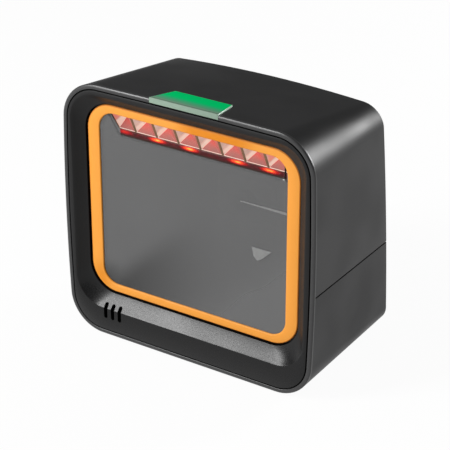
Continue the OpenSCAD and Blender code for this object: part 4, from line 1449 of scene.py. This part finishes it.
@dataclass
class Housing:
    """The two shells of the housing: the upper one and the cover below the seam."""

    along_steps: int = 9
    round_steps: int = 5
    foot_side: float = 32.0
    foot_front: float = 9.0
    foot_back: float = 12.0
    foot_r: float = 7.0
    foot_recess: float = 1.0
    foot_round: float = 0.4
    tower_side: float = 16.0
    tower_depths: Span = (18.0, 76.0)
    well_r: float = 3.1
    well_floor: float = 0.6
    socket_w: float = 15.5
    socket_h: float = 13.2
    socket_depths: Span = (88.0, 108.0)
    board_top: float = -64.5
    upright_below: float = 0.5

    def shell(self) -> Skin:
        """Grows the watertight shell of the whole housing, whose front is open.

        Returns:
            The shell's skin.
        """
        wall = FORM.wall
        skin = Skin(FORM.back_ring(wall, wall))
        inner_cap = list(skin.edge)
        skin.on(FORM.core_ring(wall, FORM.rim_t))
        front = FORM.side_ring(FORM.rim_t)
        skin.on(front)
        back = FORM.back_ring(0.0, FORM.edge_r)
        for step in range(1, self.along_steps + 1):
            skin.on([a.lerp(b, step / self.along_steps) for a, b in zip(front, back)])
        for inward, forward in rounding(self.round_steps)[1:]:
            skin.on(FORM.back_ring(FORM.edge_r * inward, FORM.edge_r * forward))
        skin.cap(skin.edge)
        skin.cap(inner_cap)
        return skin

    def upper(self, tab: StatusTab) -> bpy.types.Object:
        """Builds the upper shell, with the tab's recess in its top.

        Args:
            tab: The tab that lies in the recess.

        Returns:
            The shell's object.
        """
        bm = self.shell().bm
        bmesh.ops.recalc_face_normals(bm, faces=bm.faces[:])
        cut(bm, Vector((0.0, 0.0, FORM.seam_height(0.0))), -FORM.seam_normal())
        bm = carve(bm, [tab.recess(), tab.stem_hole()])
        return piece("upper_shell", bm, [Finishes.HOUSING], ["upper_housing"])

    def lower(self) -> bpy.types.Object:
        """Builds the cover, with its shadow line, wells, foot recesses and socket opening.

        Returns:
            The cover's object.
        """
        bm = self.shell().bm
        bmesh.ops.recalc_face_normals(bm, faces=bm.faces[:])
        upward = FORM.seam_normal()
        section = cut(bm, Vector((0.0, 0.0, FORM.seam_height(0.0) - FORM.shadow_line)), upward)
        bmesh.ops.recalc_face_normals(bm, faces=bm.faces[:])
        step = bmesh.ops.inset_region(bm, faces=section, thickness=FORM.shadow_line, use_even_offset=True)
        # The step and its risers take black: painted shade in the shadow line.
        paint(step["faces"])
        lifted = raise_faces(bm, section, upward * FORM.shadow_line)
        bmesh.ops.delete(bm, geom=section, context="FACES_ONLY")
        around = {face for vert in lifted for face in vert.link_faces}
        paint(face for face in around if abs(face.normal.dot(upward)) < self.upright_below)
        bm = carve(bm, self.holes())
        return piece("lower_shell", bm, [Finishes.COVER, Finishes.GROOVE], ["lower_cover"])

    def hole(self, radius: float, x: float, depth: float, top: float) -> bmesh.types.BMesh:
        """A round cutter that comes up through the base to a height."""
        return rod(radius, Vector((x, depth, FORM.base - CLEAR)), Vector((x, depth, top)))

    def holes(self) -> list[bmesh.types.BMesh]:
        """Makes the cutters for the cover's wells, foot recesses and socket opening.

        Returns:
            The cutters' meshes.
        """
        tower_x = FORM.width / 2 - self.tower_side
        well_top = FORM.base + FORM.wall - self.well_floor
        wells = [self.hole(self.well_r, side * tower_x, depth, well_top)
                 for depth in self.tower_depths for side in (-1, 1)]
        recesses = [self.hole(self.foot_r + FORM.fit, x, depth, FORM.base + self.foot_recess)
                    for x, depth in self.foot_places()]
        half = self.socket_w / 2 + 2 * FORM.fit
        opening = box((-half, self.socket_depths[0], self.board_top - FORM.fit),
                      (half, self.socket_depths[1], self.board_top + self.socket_h + FORM.fit))
        return [*wells, *recesses, opening]

    def foot_places(self) -> list[Span]:
        """Finds where the feet stand.

        Returns:
            Their places as x and depth.
        """
        x = FORM.width / 2 - self.foot_side
        depths = (self.foot_r + self.foot_front, FORM.depth - self.foot_r - self.foot_back)
        return [(side * x, depth) for side in (-1, 1) for depth in depths]

    def feet(self) -> bpy.types.Object:
        """Builds the four rubber feet with rounded lower edges.

        Returns:
            The feet's object.
        """
        parts = []
        for x, depth in self.foot_places():
            foot = rod(self.foot_r, Vector((x, depth, FORM.base - FORM.foot_h)),
                       Vector((x, depth, FORM.base + self.foot_recess)))
            under = [face for face in foot.faces if face.normal.z < -FACING]
            soften(foot, under[0].edges, self.foot_round, segments=3)
            parts.append(foot)
        return piece("rubber_feet_round", join(*parts), [Finishes.FOOT], ["rubber_feet"])


class Front(Enum):
    """Kinds of surface on the bezel, by material index."""

    FACE = 0
    RIM = 1
    # Black in the groove, the well and the slots: painted shade.
    DARK = 2


@dataclass
class Bezel:
    """The front: rim, groove, face, dish and speaker slots."""

    groove_w: float = 0.7
    groove_t: float = 1.2
    groove_edge: Span = (0.2, 0.06)
    skin_t: float = 2.2
    seat_t: float = 1.8
    slope_steps: int = 10
    slot_count: int = 3
    slot_pitch: float = 4.85
    slot_w: float = 2.5
    slot_drop: float = 7.4
    slot_segments: int = 24
    speaker_side: float = 29.0
    rim_round: float = 0.35
    rim_round_steps: int = 3
    rim_fall: float = 1.45
    rim_fall_steps: int = 5
    mouth_edge: Corners = ((1.15, 0.0), (1.02, 0.02), (0.9, 0.08))

    def slot(self, x: float) -> bmesh.types.BMesh:
        """Makes one slot through the face and the lower part of the slope.

        Args:
            x: Where it lies across.

        Returns:
            The slot's space.
        """
        mouth = FORM.base + DISH.mouth_base
        low = mouth - self.slot_drop + self.slot_w / 2
        high = mouth + DISH.slope_base / 4 - self.slot_w / 2
        bm = rod(self.slot_w / 2, Vector((x, -CLEAR, low)), Vector((x, DISH.dish_t, low)), self.slot_segments)
        raised = [vert for vert in bm.verts if vert.co.z > low - WELD]
        bmesh.ops.translate(bm, verts=raised, vec=(0.0, 0.0, high - low))
        # The slot's walls take black: painted shade.
        paint(bm.faces, Front.DARK.value)
        return bm

    def slots(self) -> list[bmesh.types.BMesh]:
        """All the slots, side by side in front of the speaker."""
        middle = self.speaker_side - FORM.width / 2
        steps = [i - (self.slot_count - 1) / 2 for i in range(self.slot_count)]
        return [self.slot(middle + step * self.slot_pitch) for step in steps]

    def build(self, tab: StatusTab) -> bpy.types.Object:
        """Builds the bezel as one skin, from the rim over the face and the dish to its back.

        Args:
            tab: The tab, whose lip lies in the rim.

        Returns:
            The bezel's object.
        """
        outer = FORM.side_ring(FORM.rim_t)
        skin = Skin(outer)
        rim = self.rim(skin)
        groove = self.groove(skin)
        well = self.dish(skin)
        self.seat(skin)
        skin.on(outer)
        # The rim takes the lighter finish: painted light.
        paint(rim, Front.RIM.value)
        # The groove and the well behind the dish take black: painted shade.
        paint(groove + well, Front.DARK.value)
        skin.weld()
        bm = carve(skin.bm, [tab.notch(), *self.slots()])
        return piece("bezel", bm, [Finishes.BEZEL, Finishes.RIM, Finishes.GROOVE], ["front_bezel"])

    def rim(self, skin: Skin) -> list[bmesh.types.BMFace]:
        """Grows the rim, which falls away outwards and is rounded at the groove.

        Args:
            skin: The bezel's skin, which has reached the rim's back.

        Returns:
            The rim's faces.
        """
        faces = skin.on(FORM.front_ring(0.0, FORM.edge_r))
        for inward, deep in rounding(self.rim_fall_steps)[1:]:
            faces += skin.on(FORM.front_ring(self.rim_fall * inward, FORM.edge_r * deep))
        for deep, outward in rounding(self.rim_round_steps):
            faces += skin.on(FORM.front_ring(FORM.rim_w - self.rim_round * outward, self.rim_round * deep))
        return faces

    def groove(self, skin: Skin) -> list[bmesh.types.BMFace]:
        """Grows the groove, and the small bevel from it to the face.

        Args:
            skin: The bezel's skin, which has reached the rim's inner edge.

        Returns:
            The groove's faces.
        """
        inner = FORM.rim_w + self.groove_w
        wide, narrow = self.groove_edge
        faces = []
        for inset, depth in ((FORM.rim_w, self.groove_t), (inner, self.groove_t), (inner, wide)):
            faces += skin.on(FORM.front_ring(inset, depth))
        skin.on(FORM.front_ring(inner + narrow, narrow))
        skin.on(FORM.front_ring(inner + wide, 0.0))
        return faces

    def dish(self, skin: Skin) -> list[bmesh.types.BMFace]:
        """Grows the face, the dish's hollow slope and the well behind it.

        Args:
            skin: The bezel's skin, which has reached the face.

        Returns:
            The well's faces.
        """
        for grow, depth in self.mouth_edge:
            skin.on(DISH.slope_ring(0.0, grow, depth))
        for step in range(self.slope_steps + 1):
            share = step / self.slope_steps
            skin.on(DISH.slope_ring(share, 0.0, DISH.slope_depth(share)))
        return skin.on(DISH.slope_ring(1.0, 0.0, DISH.back))

    def seat(self, skin: Skin) -> None:
        """Grows the bezel's back and the wall that sits in the housing.

        Args:
            skin: The bezel's skin, which has reached the well's end.
        """
        skin.on(DISH.slope_ring(1.0, self.skin_t, DISH.back))
        for share in (1.0, 0.5, 0.0):
            skin.on(DISH.slope_ring(share, self.skin_t, DISH.slope_depth(share) + self.skin_t))
        outer = FORM.wall + FORM.fit
        inner = outer + self.seat_t
        for inset, depth in ((inner, self.skin_t + FORM.edge_r), (inner, DISH.back),
                             (outer, DISH.back), (outer, FORM.rim_t)):
            skin.on(FORM.core_ring(inset, depth))


@dataclass
class Window:
    """The light ring and the glass behind it."""

    ring_round: float = 0.7
    ring_steps: int = 3
    # Outlines, as x and height, of the painted reflections: a pale patch and a fine line.
    patch: Corners = ((38.9, 3.7), (51.4, 3.8), (45.6, -1.8), (42.5, -3.8), (40.1, -1.8))
    line: Corners = ((31.5, 28.9), (60.4, 29.3), (60.4, 27.75), (31.5, 28.4))
    film_t: float = 0.05
    glass_edge: float = 0.1

    @property
    def glass_front(self) -> float:
        """Depth of the glass's front face."""
        return DISH.dish_t + DISH.glass_inset

    def ring(self) -> bpy.types.Object:
        """Builds the light ring with softly rounded edges.

        Returns:
            The ring's object.
        """
        soft = self.ring_round
        turns = rounding(self.ring_steps)
        skin = Skin(DISH.ring(0.0, DISH.back))
        side = []
        for inward, deep in turns:
            side += skin.on(DISH.ring(-soft * inward, DISH.dish_t + soft * deep))
        for outward, deep in reversed(turns):
            skin.on(DISH.inner(soft * outward, DISH.dish_t + soft * deep))
        skin.on(DISH.inner(0.0, self.glass_front))
        skin.on(DISH.inner(DISH.glass_lap, self.glass_front))
        skin.on(DISH.inner(DISH.glass_lap, DISH.back))
        skin.on(DISH.ring(0.0, DISH.back))
        # The side faces take the darker orange: painted shade.
        paint(side)
        skin.weld()
        return piece("orange_ring", skin.bm, [Finishes.RING, Finishes.RING_SIDE], ["light_ring"])

    def reflection_films(self) -> bpy.types.Object:
        """Builds the painted reflections seen in the window, a pale patch and a fine line, as thin films on
        the glass.

        Returns:
            The films' object.
        """
        film = bmesh.new()
        depth = self.glass_front - FORM.fit
        shapes = [film.faces.new([film.verts.new((x, depth, height)) for x, height in corners])
                  for corners in (self.patch, self.line)]
        raise_faces(film, shapes, (0.0, -self.film_t, 0.0))
        return piece("window_reflection_films", film, [Finishes.REFLECTION_FILM])

    def glass(self) -> bpy.types.Object:
        """Builds the glass, which light passes without a shadow.

        Returns:
            The pane's object.
        """
        lap = DISH.glass_lap - FORM.fit
        skin = Skin(DISH.inner(lap, DISH.back - FORM.fit))
        behind = list(skin.edge)
        skin.on(DISH.inner(lap, self.glass_front + self.glass_edge))
        skin.on(DISH.inner(lap - self.glass_edge, self.glass_front))
        skin.cap(skin.edge)
        skin.cap(behind)
        pane = piece("window_pane", skin.bm, [Finishes.WINDOW], ["window_glass"])
        pane.visible_shadow = False
        return pane


class Facet(Enum):
    """Kinds of surface on the reflector row, by material index."""

    WEB = 0
    SIDE = 1
    FLOOR = 2
    OTHER = 3
    EDGE = 4
    END = 5


@dataclass
class Reflectors:
    """The row of pyramid cups over the light strip."""

    web: float = 0.9
    ledge: float = 0.42
    ledge_t: float = 0.15
    cup_t: float = 4.2
    tilt: float = math.radians(24)
    row_d: float = 16.2
    row_drop: float = 12.4
    back_t: float = 5.6
    strip_h: float = 3.9
    strip_t: float = 1.4
    strip_proud: float = 0.4
    strip_short: float = 4.0
    strip_round: float = 0.35
    end_drop: float = 2.5
    end_slant: float = 2.8
    seat_half_w: float = 59.15
    end_gap: float = 0.3
    turned_from: float = 0.2
    crisp_from: float = math.radians(12)

    @property
    def seat_top(self) -> float:
        """Height of the window seat's upper edge."""
        return DISH.opening[2] - FORM.fit

    @property
    def base(self) -> float:
        """Height of the row's lower edge."""
        return self.seat_top - self.row_drop

    @property
    def reach(self) -> float:
        """Half width of the row with its end blocks."""
        return self.seat_half_w - self.end_gap

    def placing(self) -> Matrix:
        """Where the row stands: its lower front edge, leaning forward."""
        return Matrix.Translation((0.0, self.row_d, self.base)) @ Matrix.Rotation(self.tilt, 4, "X")

    def bar(self, tall: float) -> bmesh.types.BMesh:
        """Makes an upright bar, divided into one cell for each cup, with a slanted lower left end.

        Args:
            tall: The bar's height.

        Returns:
            The bar's mesh, whose front lies in the front plane.
        """
        bm = bmesh.new()
        stand = Matrix.Translation((0.0, 0.0, tall / 2)) @ Matrix.Rotation(math.pi / 2, 4, "X")
        size = Matrix.Diagonal((ROW.half_w, tall / 2, 1.0, 1.0))
        bmesh.ops.create_grid(bm, x_segments=ROW.count, y_segments=1, size=1.0, matrix=stand @ size)
        for vert in bm.verts:
            if vert.co.x < ROW.pitch / 2 - ROW.half_w and vert.co.z < tall / 2:
                vert.co.x += self.end_slant
        bmesh.ops.solidify(bm, geom=bm.faces[:], thickness=self.back_t)
        bmesh.ops.recalc_face_normals(bm, faces=bm.faces[:])
        shift = -min(vert.co.y for vert in bm.verts)
        bmesh.ops.translate(bm, verts=bm.verts[:], vec=(0.0, shift, 0.0))
        return bm

    def press(self, bm: bmesh.types.BMesh, tall: float) -> None:
        """Insets the bar's front cells, with a ledge at their foot that takes a painted highlight, and
        presses them into cups.

        Args:
            bm: The bar's mesh.
            tall: The bar's height.
        """
        front = [face for face in bm.faces if face.normal.y < -FACING]
        bmesh.ops.inset_individual(bm, faces=front, thickness=self.web / 2, use_even_offset=True)
        ledges = bmesh.ops.inset_individual(bm, faces=front, thickness=self.ledge, depth=-self.ledge_t,
                                            use_even_offset=True)["faces"]
        # The ledges at the foot take the pale coat: a painted highlight.
        paint((face for face in ledges if face.calc_center_median().z < tall / 4), Facet.EDGE.value)
        facets = bmesh.ops.poke(bm, faces=front, offset=self.ledge_t - self.cup_t, center_mode="MEAN",
                                use_relative_offset=False)["faces"]
        bm.normal_update()
        # Each facet takes the coat for the way it faces: painted reflections.
        for face in facets:
            face.material_index = self.kind(face.normal).value

    def row(self) -> bpy.types.Object:
        """Builds the row: a bar whose front is divided, inset and pressed into pyramid cups.

        Returns:
            The row's object.
        """
        tall = self.row_drop / math.cos(self.tilt)
        bm = self.bar(tall)
        self.press(bm, tall)
        ends = [face for face in bm.faces if abs(face.normal.x) > FACING]
        for end in bmesh.ops.extrude_discrete_faces(bm, faces=ends)["faces"]:
            for vert in end.verts:
                vert.co.x = math.copysign(self.reach, vert.co.x)
            # The ends take the chamber's grey and its painted glow.
            paint({face for edge in end.edges for face in edge.link_faces}, Facet.END.value)
        bmesh.ops.transform(bm, matrix=self.placing(), verts=bm.verts[:])
        finishes = [Finishes.WEB, Finishes.FACET_SIDE, Finishes.FACET_FLOOR, Finishes.FACET_OTHER,
                    Finishes.FACET_EDGE, Finishes.CHAMBER]
        return piece("reflector_cups", bm, finishes, ["reflector_row"], self.crisp_from)

    def kind(self, normal: Vector) -> Facet:
        """Finds which kind of facet a normal belongs to.

        Args:
            normal: The facet's normal, before the row leans.

        Returns:
            The kind of facet.
        """
        if normal.x > self.turned_from:
            return Facet.SIDE
        if normal.z > self.turned_from:
            return Facet.FLOOR
        return Facet.OTHER

    def strip(self) -> bpy.types.Object:
        """Builds the light strip as a slim bar with rounded edges, between two grey end blocks.

        Returns:
            The strip's object.
        """
        front = self.row_d - self.strip_proud
        back = front + self.strip_t
        half = self.seat_half_w - self.strip_short
        left = self.end_slant / 2 - half
        strip = box((left, front, self.base - self.strip_h), (half, back, self.base))
        soften(strip, sharp_edges(strip), self.strip_round, segments=3)
        foot = self.base - self.strip_h - self.end_drop
        for start, stop in ((-self.reach, left), (half, self.reach)):
            block = box((start, front, foot), (stop, back, self.base))
            # The end blocks take the chamber's grey and its painted glow.
            paint(block.faces)
            join(strip, block)
        return piece("glow_strip", strip, [Finishes.STRIP, Finishes.CHAMBER], ["light_strip"])


@dataclass
class StripClip:
    """The clip at the right end of the light strip."""

    clip_x: float = 53.6
    clip_t: float = 0.9
    clip_d: Span = (15.6, 18.2)
    clip_reach: Span = (40.6, 51.0)
    clip_round: float = 0.2
    rivet_r: float = 0.85
    rivet_t: float = 0.5
    rivet_segments: int = 20

    def build(self) -> bpy.types.Object:
        """Builds the clip, with a painted glint on the rivet at its foot.

        Returns:
            The clip's object.
        """
        side = box((self.clip_x - self.clip_t / 2, self.clip_d[0], self.clip_reach[0]),
                   (self.clip_x + self.clip_t / 2, self.clip_d[1], self.clip_reach[1]))
        soften(side, sharp_edges(side), self.clip_round)
        foot = Vector((self.clip_x - self.clip_t, self.clip_d[0], self.clip_reach[0] + 2 * self.rivet_r))
        half = Vector((0.0, self.rivet_t, 0.0))
        rivet = rod(self.rivet_r, foot - half, foot + half, self.rivet_segments)
        # The rivet glows: a painted glint.
        paint(rivet.faces)
        return piece("strip_clip", join(side, rivet), [Finishes.GROOVE, Finishes.PAINTED_GLINT])


class SolidFinishes:
    """The nodes that keep their solids, each with its finish."""

    def __init__(self) -> None:
        """Lists the nodes by finish."""
        self.finishes: dict[str, Finish] = {
            "scan_chamber": Finishes.CHAMBER,
            "status_board": Finishes.BOARD,
            "illumination_board": Finishes.BOARD,
            "camera_board": Finishes.BOARD,
            "main_board": Finishes.BOARD,
            "status_lamps": Finishes.LAMP_GREEN,
            "illumination_lamps": Finishes.LAMP_WARM,
            "lens_barrel": Finishes.BARREL,
            "lens_holder": Finishes.BARREL,
            "lens_glass": Finishes.LENS,
            "image_sensor": Finishes.SENSOR,
            "aimer": Finishes.AIMER,
            "board_chips": Finishes.CHIP,
            "board_connectors": Finishes.IVORY,
            "interface_socket": Finishes.SOCKET,
            "socket_contacts": Finishes.GOLD,
            "speaker": Finishes.CAN,
            "speaker_cone": Finishes.CONE,
            "speaker_gasket": Finishes.FOAM,
            "camera_ribbon": Finishes.RIBBON,
            "light_ribbon": Finishes.RIBBON,
            "status_ribbon": Finishes.RIBBON,
            "speaker_lead": Finishes.LEAD,
            "housing_screws": Finishes.STEEL,
            "chamber_screws": Finishes.STEEL,
            "board_screws": Finishes.STEEL,
        }

    def dress(self) -> None:
        """Gives each solid its material."""
        made: dict[str, bpy.types.Material] = {}
        for node, finish in self.finishes.items():
            if finish.name not in made:
                made[finish.name] = finish.material()
            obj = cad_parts[node]
            for place in range(len(obj.material_slots)):
                obj.material_slots[place].material = made[finish.name]
            if not obj.material_slots:
                obj.data.materials.append(made[finish.name])
            LOG.info("%s: %s", node, finish.name)


@dataclass(frozen=True)
class Softbox:
    """A soft light that faces the scanner: its direction, and its distance and size in metres."""

    name: str
    way: Point
    distance: float
    width: float
    height: float
    watts: float
    aim: Point = (0.0, 0.0, 0.08)

    def hang(self) -> None:
        """Hangs the light in the scene."""
        data = bpy.data.lights.new(self.name, "AREA")
        data.shape = "RECTANGLE"
        data.size = self.width
        data.size_y = self.height
        data.energy = self.watts
        lamp = bpy.data.objects.new(self.name, data)
        outward = Vector(self.way).normalized()
        turn = outward.to_track_quat("Z", "Y").to_matrix().to_4x4()
        lamp.matrix_world = Matrix.Translation(Vector(self.aim) + outward * self.distance) @ turn
        bpy.context.scene.collection.objects.link(lamp)


@dataclass
class Studio:
    """Floor, soft lights and the camera. Lengths are in metres and angles in radians."""

    yaw: float = 0.585789
    pitch: float = 0.455545
    lens_px: float = 1703.9327
    image_px: float = 450.0
    sensor_mm: float = 36.0
    place: Point = (0.47472, -0.7263, 0.4912)
    sight: Span = (0.01, 50.0)
    floor_size: float = 6.0
    paper: Colour = (0.8, 0.8, 0.8)
    white: Colour = (1.0, 1.0, 1.0)
    whiteness: float = 0.95
    room_light: float = 0.2
    lights: tuple[Softbox, ...] = (
        Softbox("key_front_left", (-0.5, -0.715, 0.45), distance=1.3, width=0.36, height=0.9, watts=23.0),
        Softbox("behind_right", (0.45, 0.85, 0.24), distance=1.2, width=0.4, height=0.4, watts=12.3),
    )

    def camera(self) -> None:
        """Sets the camera at the photograph's angle."""
        level = math.cos(self.pitch)
        forward = Vector((-math.sin(self.yaw) * level, math.cos(self.yaw) * level, -math.sin(self.pitch)))
        right = Vector((math.cos(self.yaw), math.sin(self.yaw), 0.0))
        upward = right.cross(forward)
        data = bpy.data.cameras.new("camera")
        data.sensor_width = self.sensor_mm
        data.lens = self.lens_px * self.sensor_mm / self.image_px
        data.clip_start, data.clip_end = self.sight
        camera = bpy.data.objects.new("camera", data)
        turn = Matrix((right, upward, -forward)).transposed().to_4x4()
        camera.matrix_world = Matrix.Translation(self.place) @ turn
        bpy.context.scene.collection.objects.link(camera)
        bpy.context.scene.camera = camera

    def floor(self) -> None:
        """Lays a plain pale floor that keeps the scanner's shadow."""
        bm = bmesh.new()
        bmesh.ops.create_grid(bm, x_segments=1, y_segments=1, size=self.floor_size / 2)
        mesh = bpy.data.meshes.new("floor")
        bm.to_mesh(mesh)
        bm.free()
        obj = bpy.data.objects.new("floor", mesh)
        bpy.context.scene.collection.objects.link(obj)
        mesh.materials.append(self.floor_material())

    def floor_material(self) -> bpy.types.Material:
        """Makes paper that shows nearly white, straight, in gloss and through glass.

        Returns:
            The floor's material.
        """
        tree = Tree("floor_white")
        path = tree.add("LightPath").outputs
        seen = tree.math("MAXIMUM", path["Is Glossy Ray"], path["Is Transmission Ray"])
        seen = tree.math("MAXIMUM", path["Is Camera Ray"], seen)
        paper = tree.add("BsdfDiffuse", {"Color": (*self.paper, 1.0)})
        white = tree.add("Emission", {"Color": (*self.white, 1.0), "Strength": 1.0})
        mixed = tree.add("MixShader", {"Fac": tree.math("MULTIPLY", seen, self.whiteness)})
        tree.link(paper.outputs[0], mixed.inputs[1])
        tree.link(white.outputs[0], mixed.inputs[2])
        return tree.shade(mixed)

    def world(self) -> None:
        """Gives the room an even pale light, and a white background where the camera sees it."""
        world = bpy.data.worlds.new("room")
        world.use_nodes = True
        nodes = world.node_tree.nodes
        background = nodes["Background"]
        background.inputs["Color"].default_value = (*self.white, 1.0)
        path = nodes.new("ShaderNodeLightPath")
        strength = nodes.new("ShaderNodeMapRange")
        strength.inputs["To Min"].default_value = self.room_light
        world.node_tree.links.new(path.outputs["Is Camera Ray"], strength.inputs["Value"])
        world.node_tree.links.new(strength.outputs["Result"], background.inputs["Strength"])
        bpy.context.scene.world = world

    def build(self) -> None:
        """Sets up the whole studio."""
        self.camera()
        self.floor()
        self.world()
        for light in self.lights:
            light.hang()
        bpy.context.scene.view_settings.view_transform = "Standard"


def main() -> None:
    """Builds the scanner piece by piece and sets up the studio."""
    logging.basicConfig(level=logging.INFO, format="%(message)s")
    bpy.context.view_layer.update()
    Studio().build()
    SolidFinishes().dress()
    tab = StatusTab()
    housing = Housing()
    housing.upper(tab)
    housing.lower()
    housing.feet()
    Bezel().build(tab)
    tab.build()
    window = Window()
    window.ring()
    window.glass()
    window.reflection_films()
    reflectors = Reflectors()
    reflectors.row()
    reflectors.strip()
    StripClip().build()


if __name__ == "__main__":
    main()
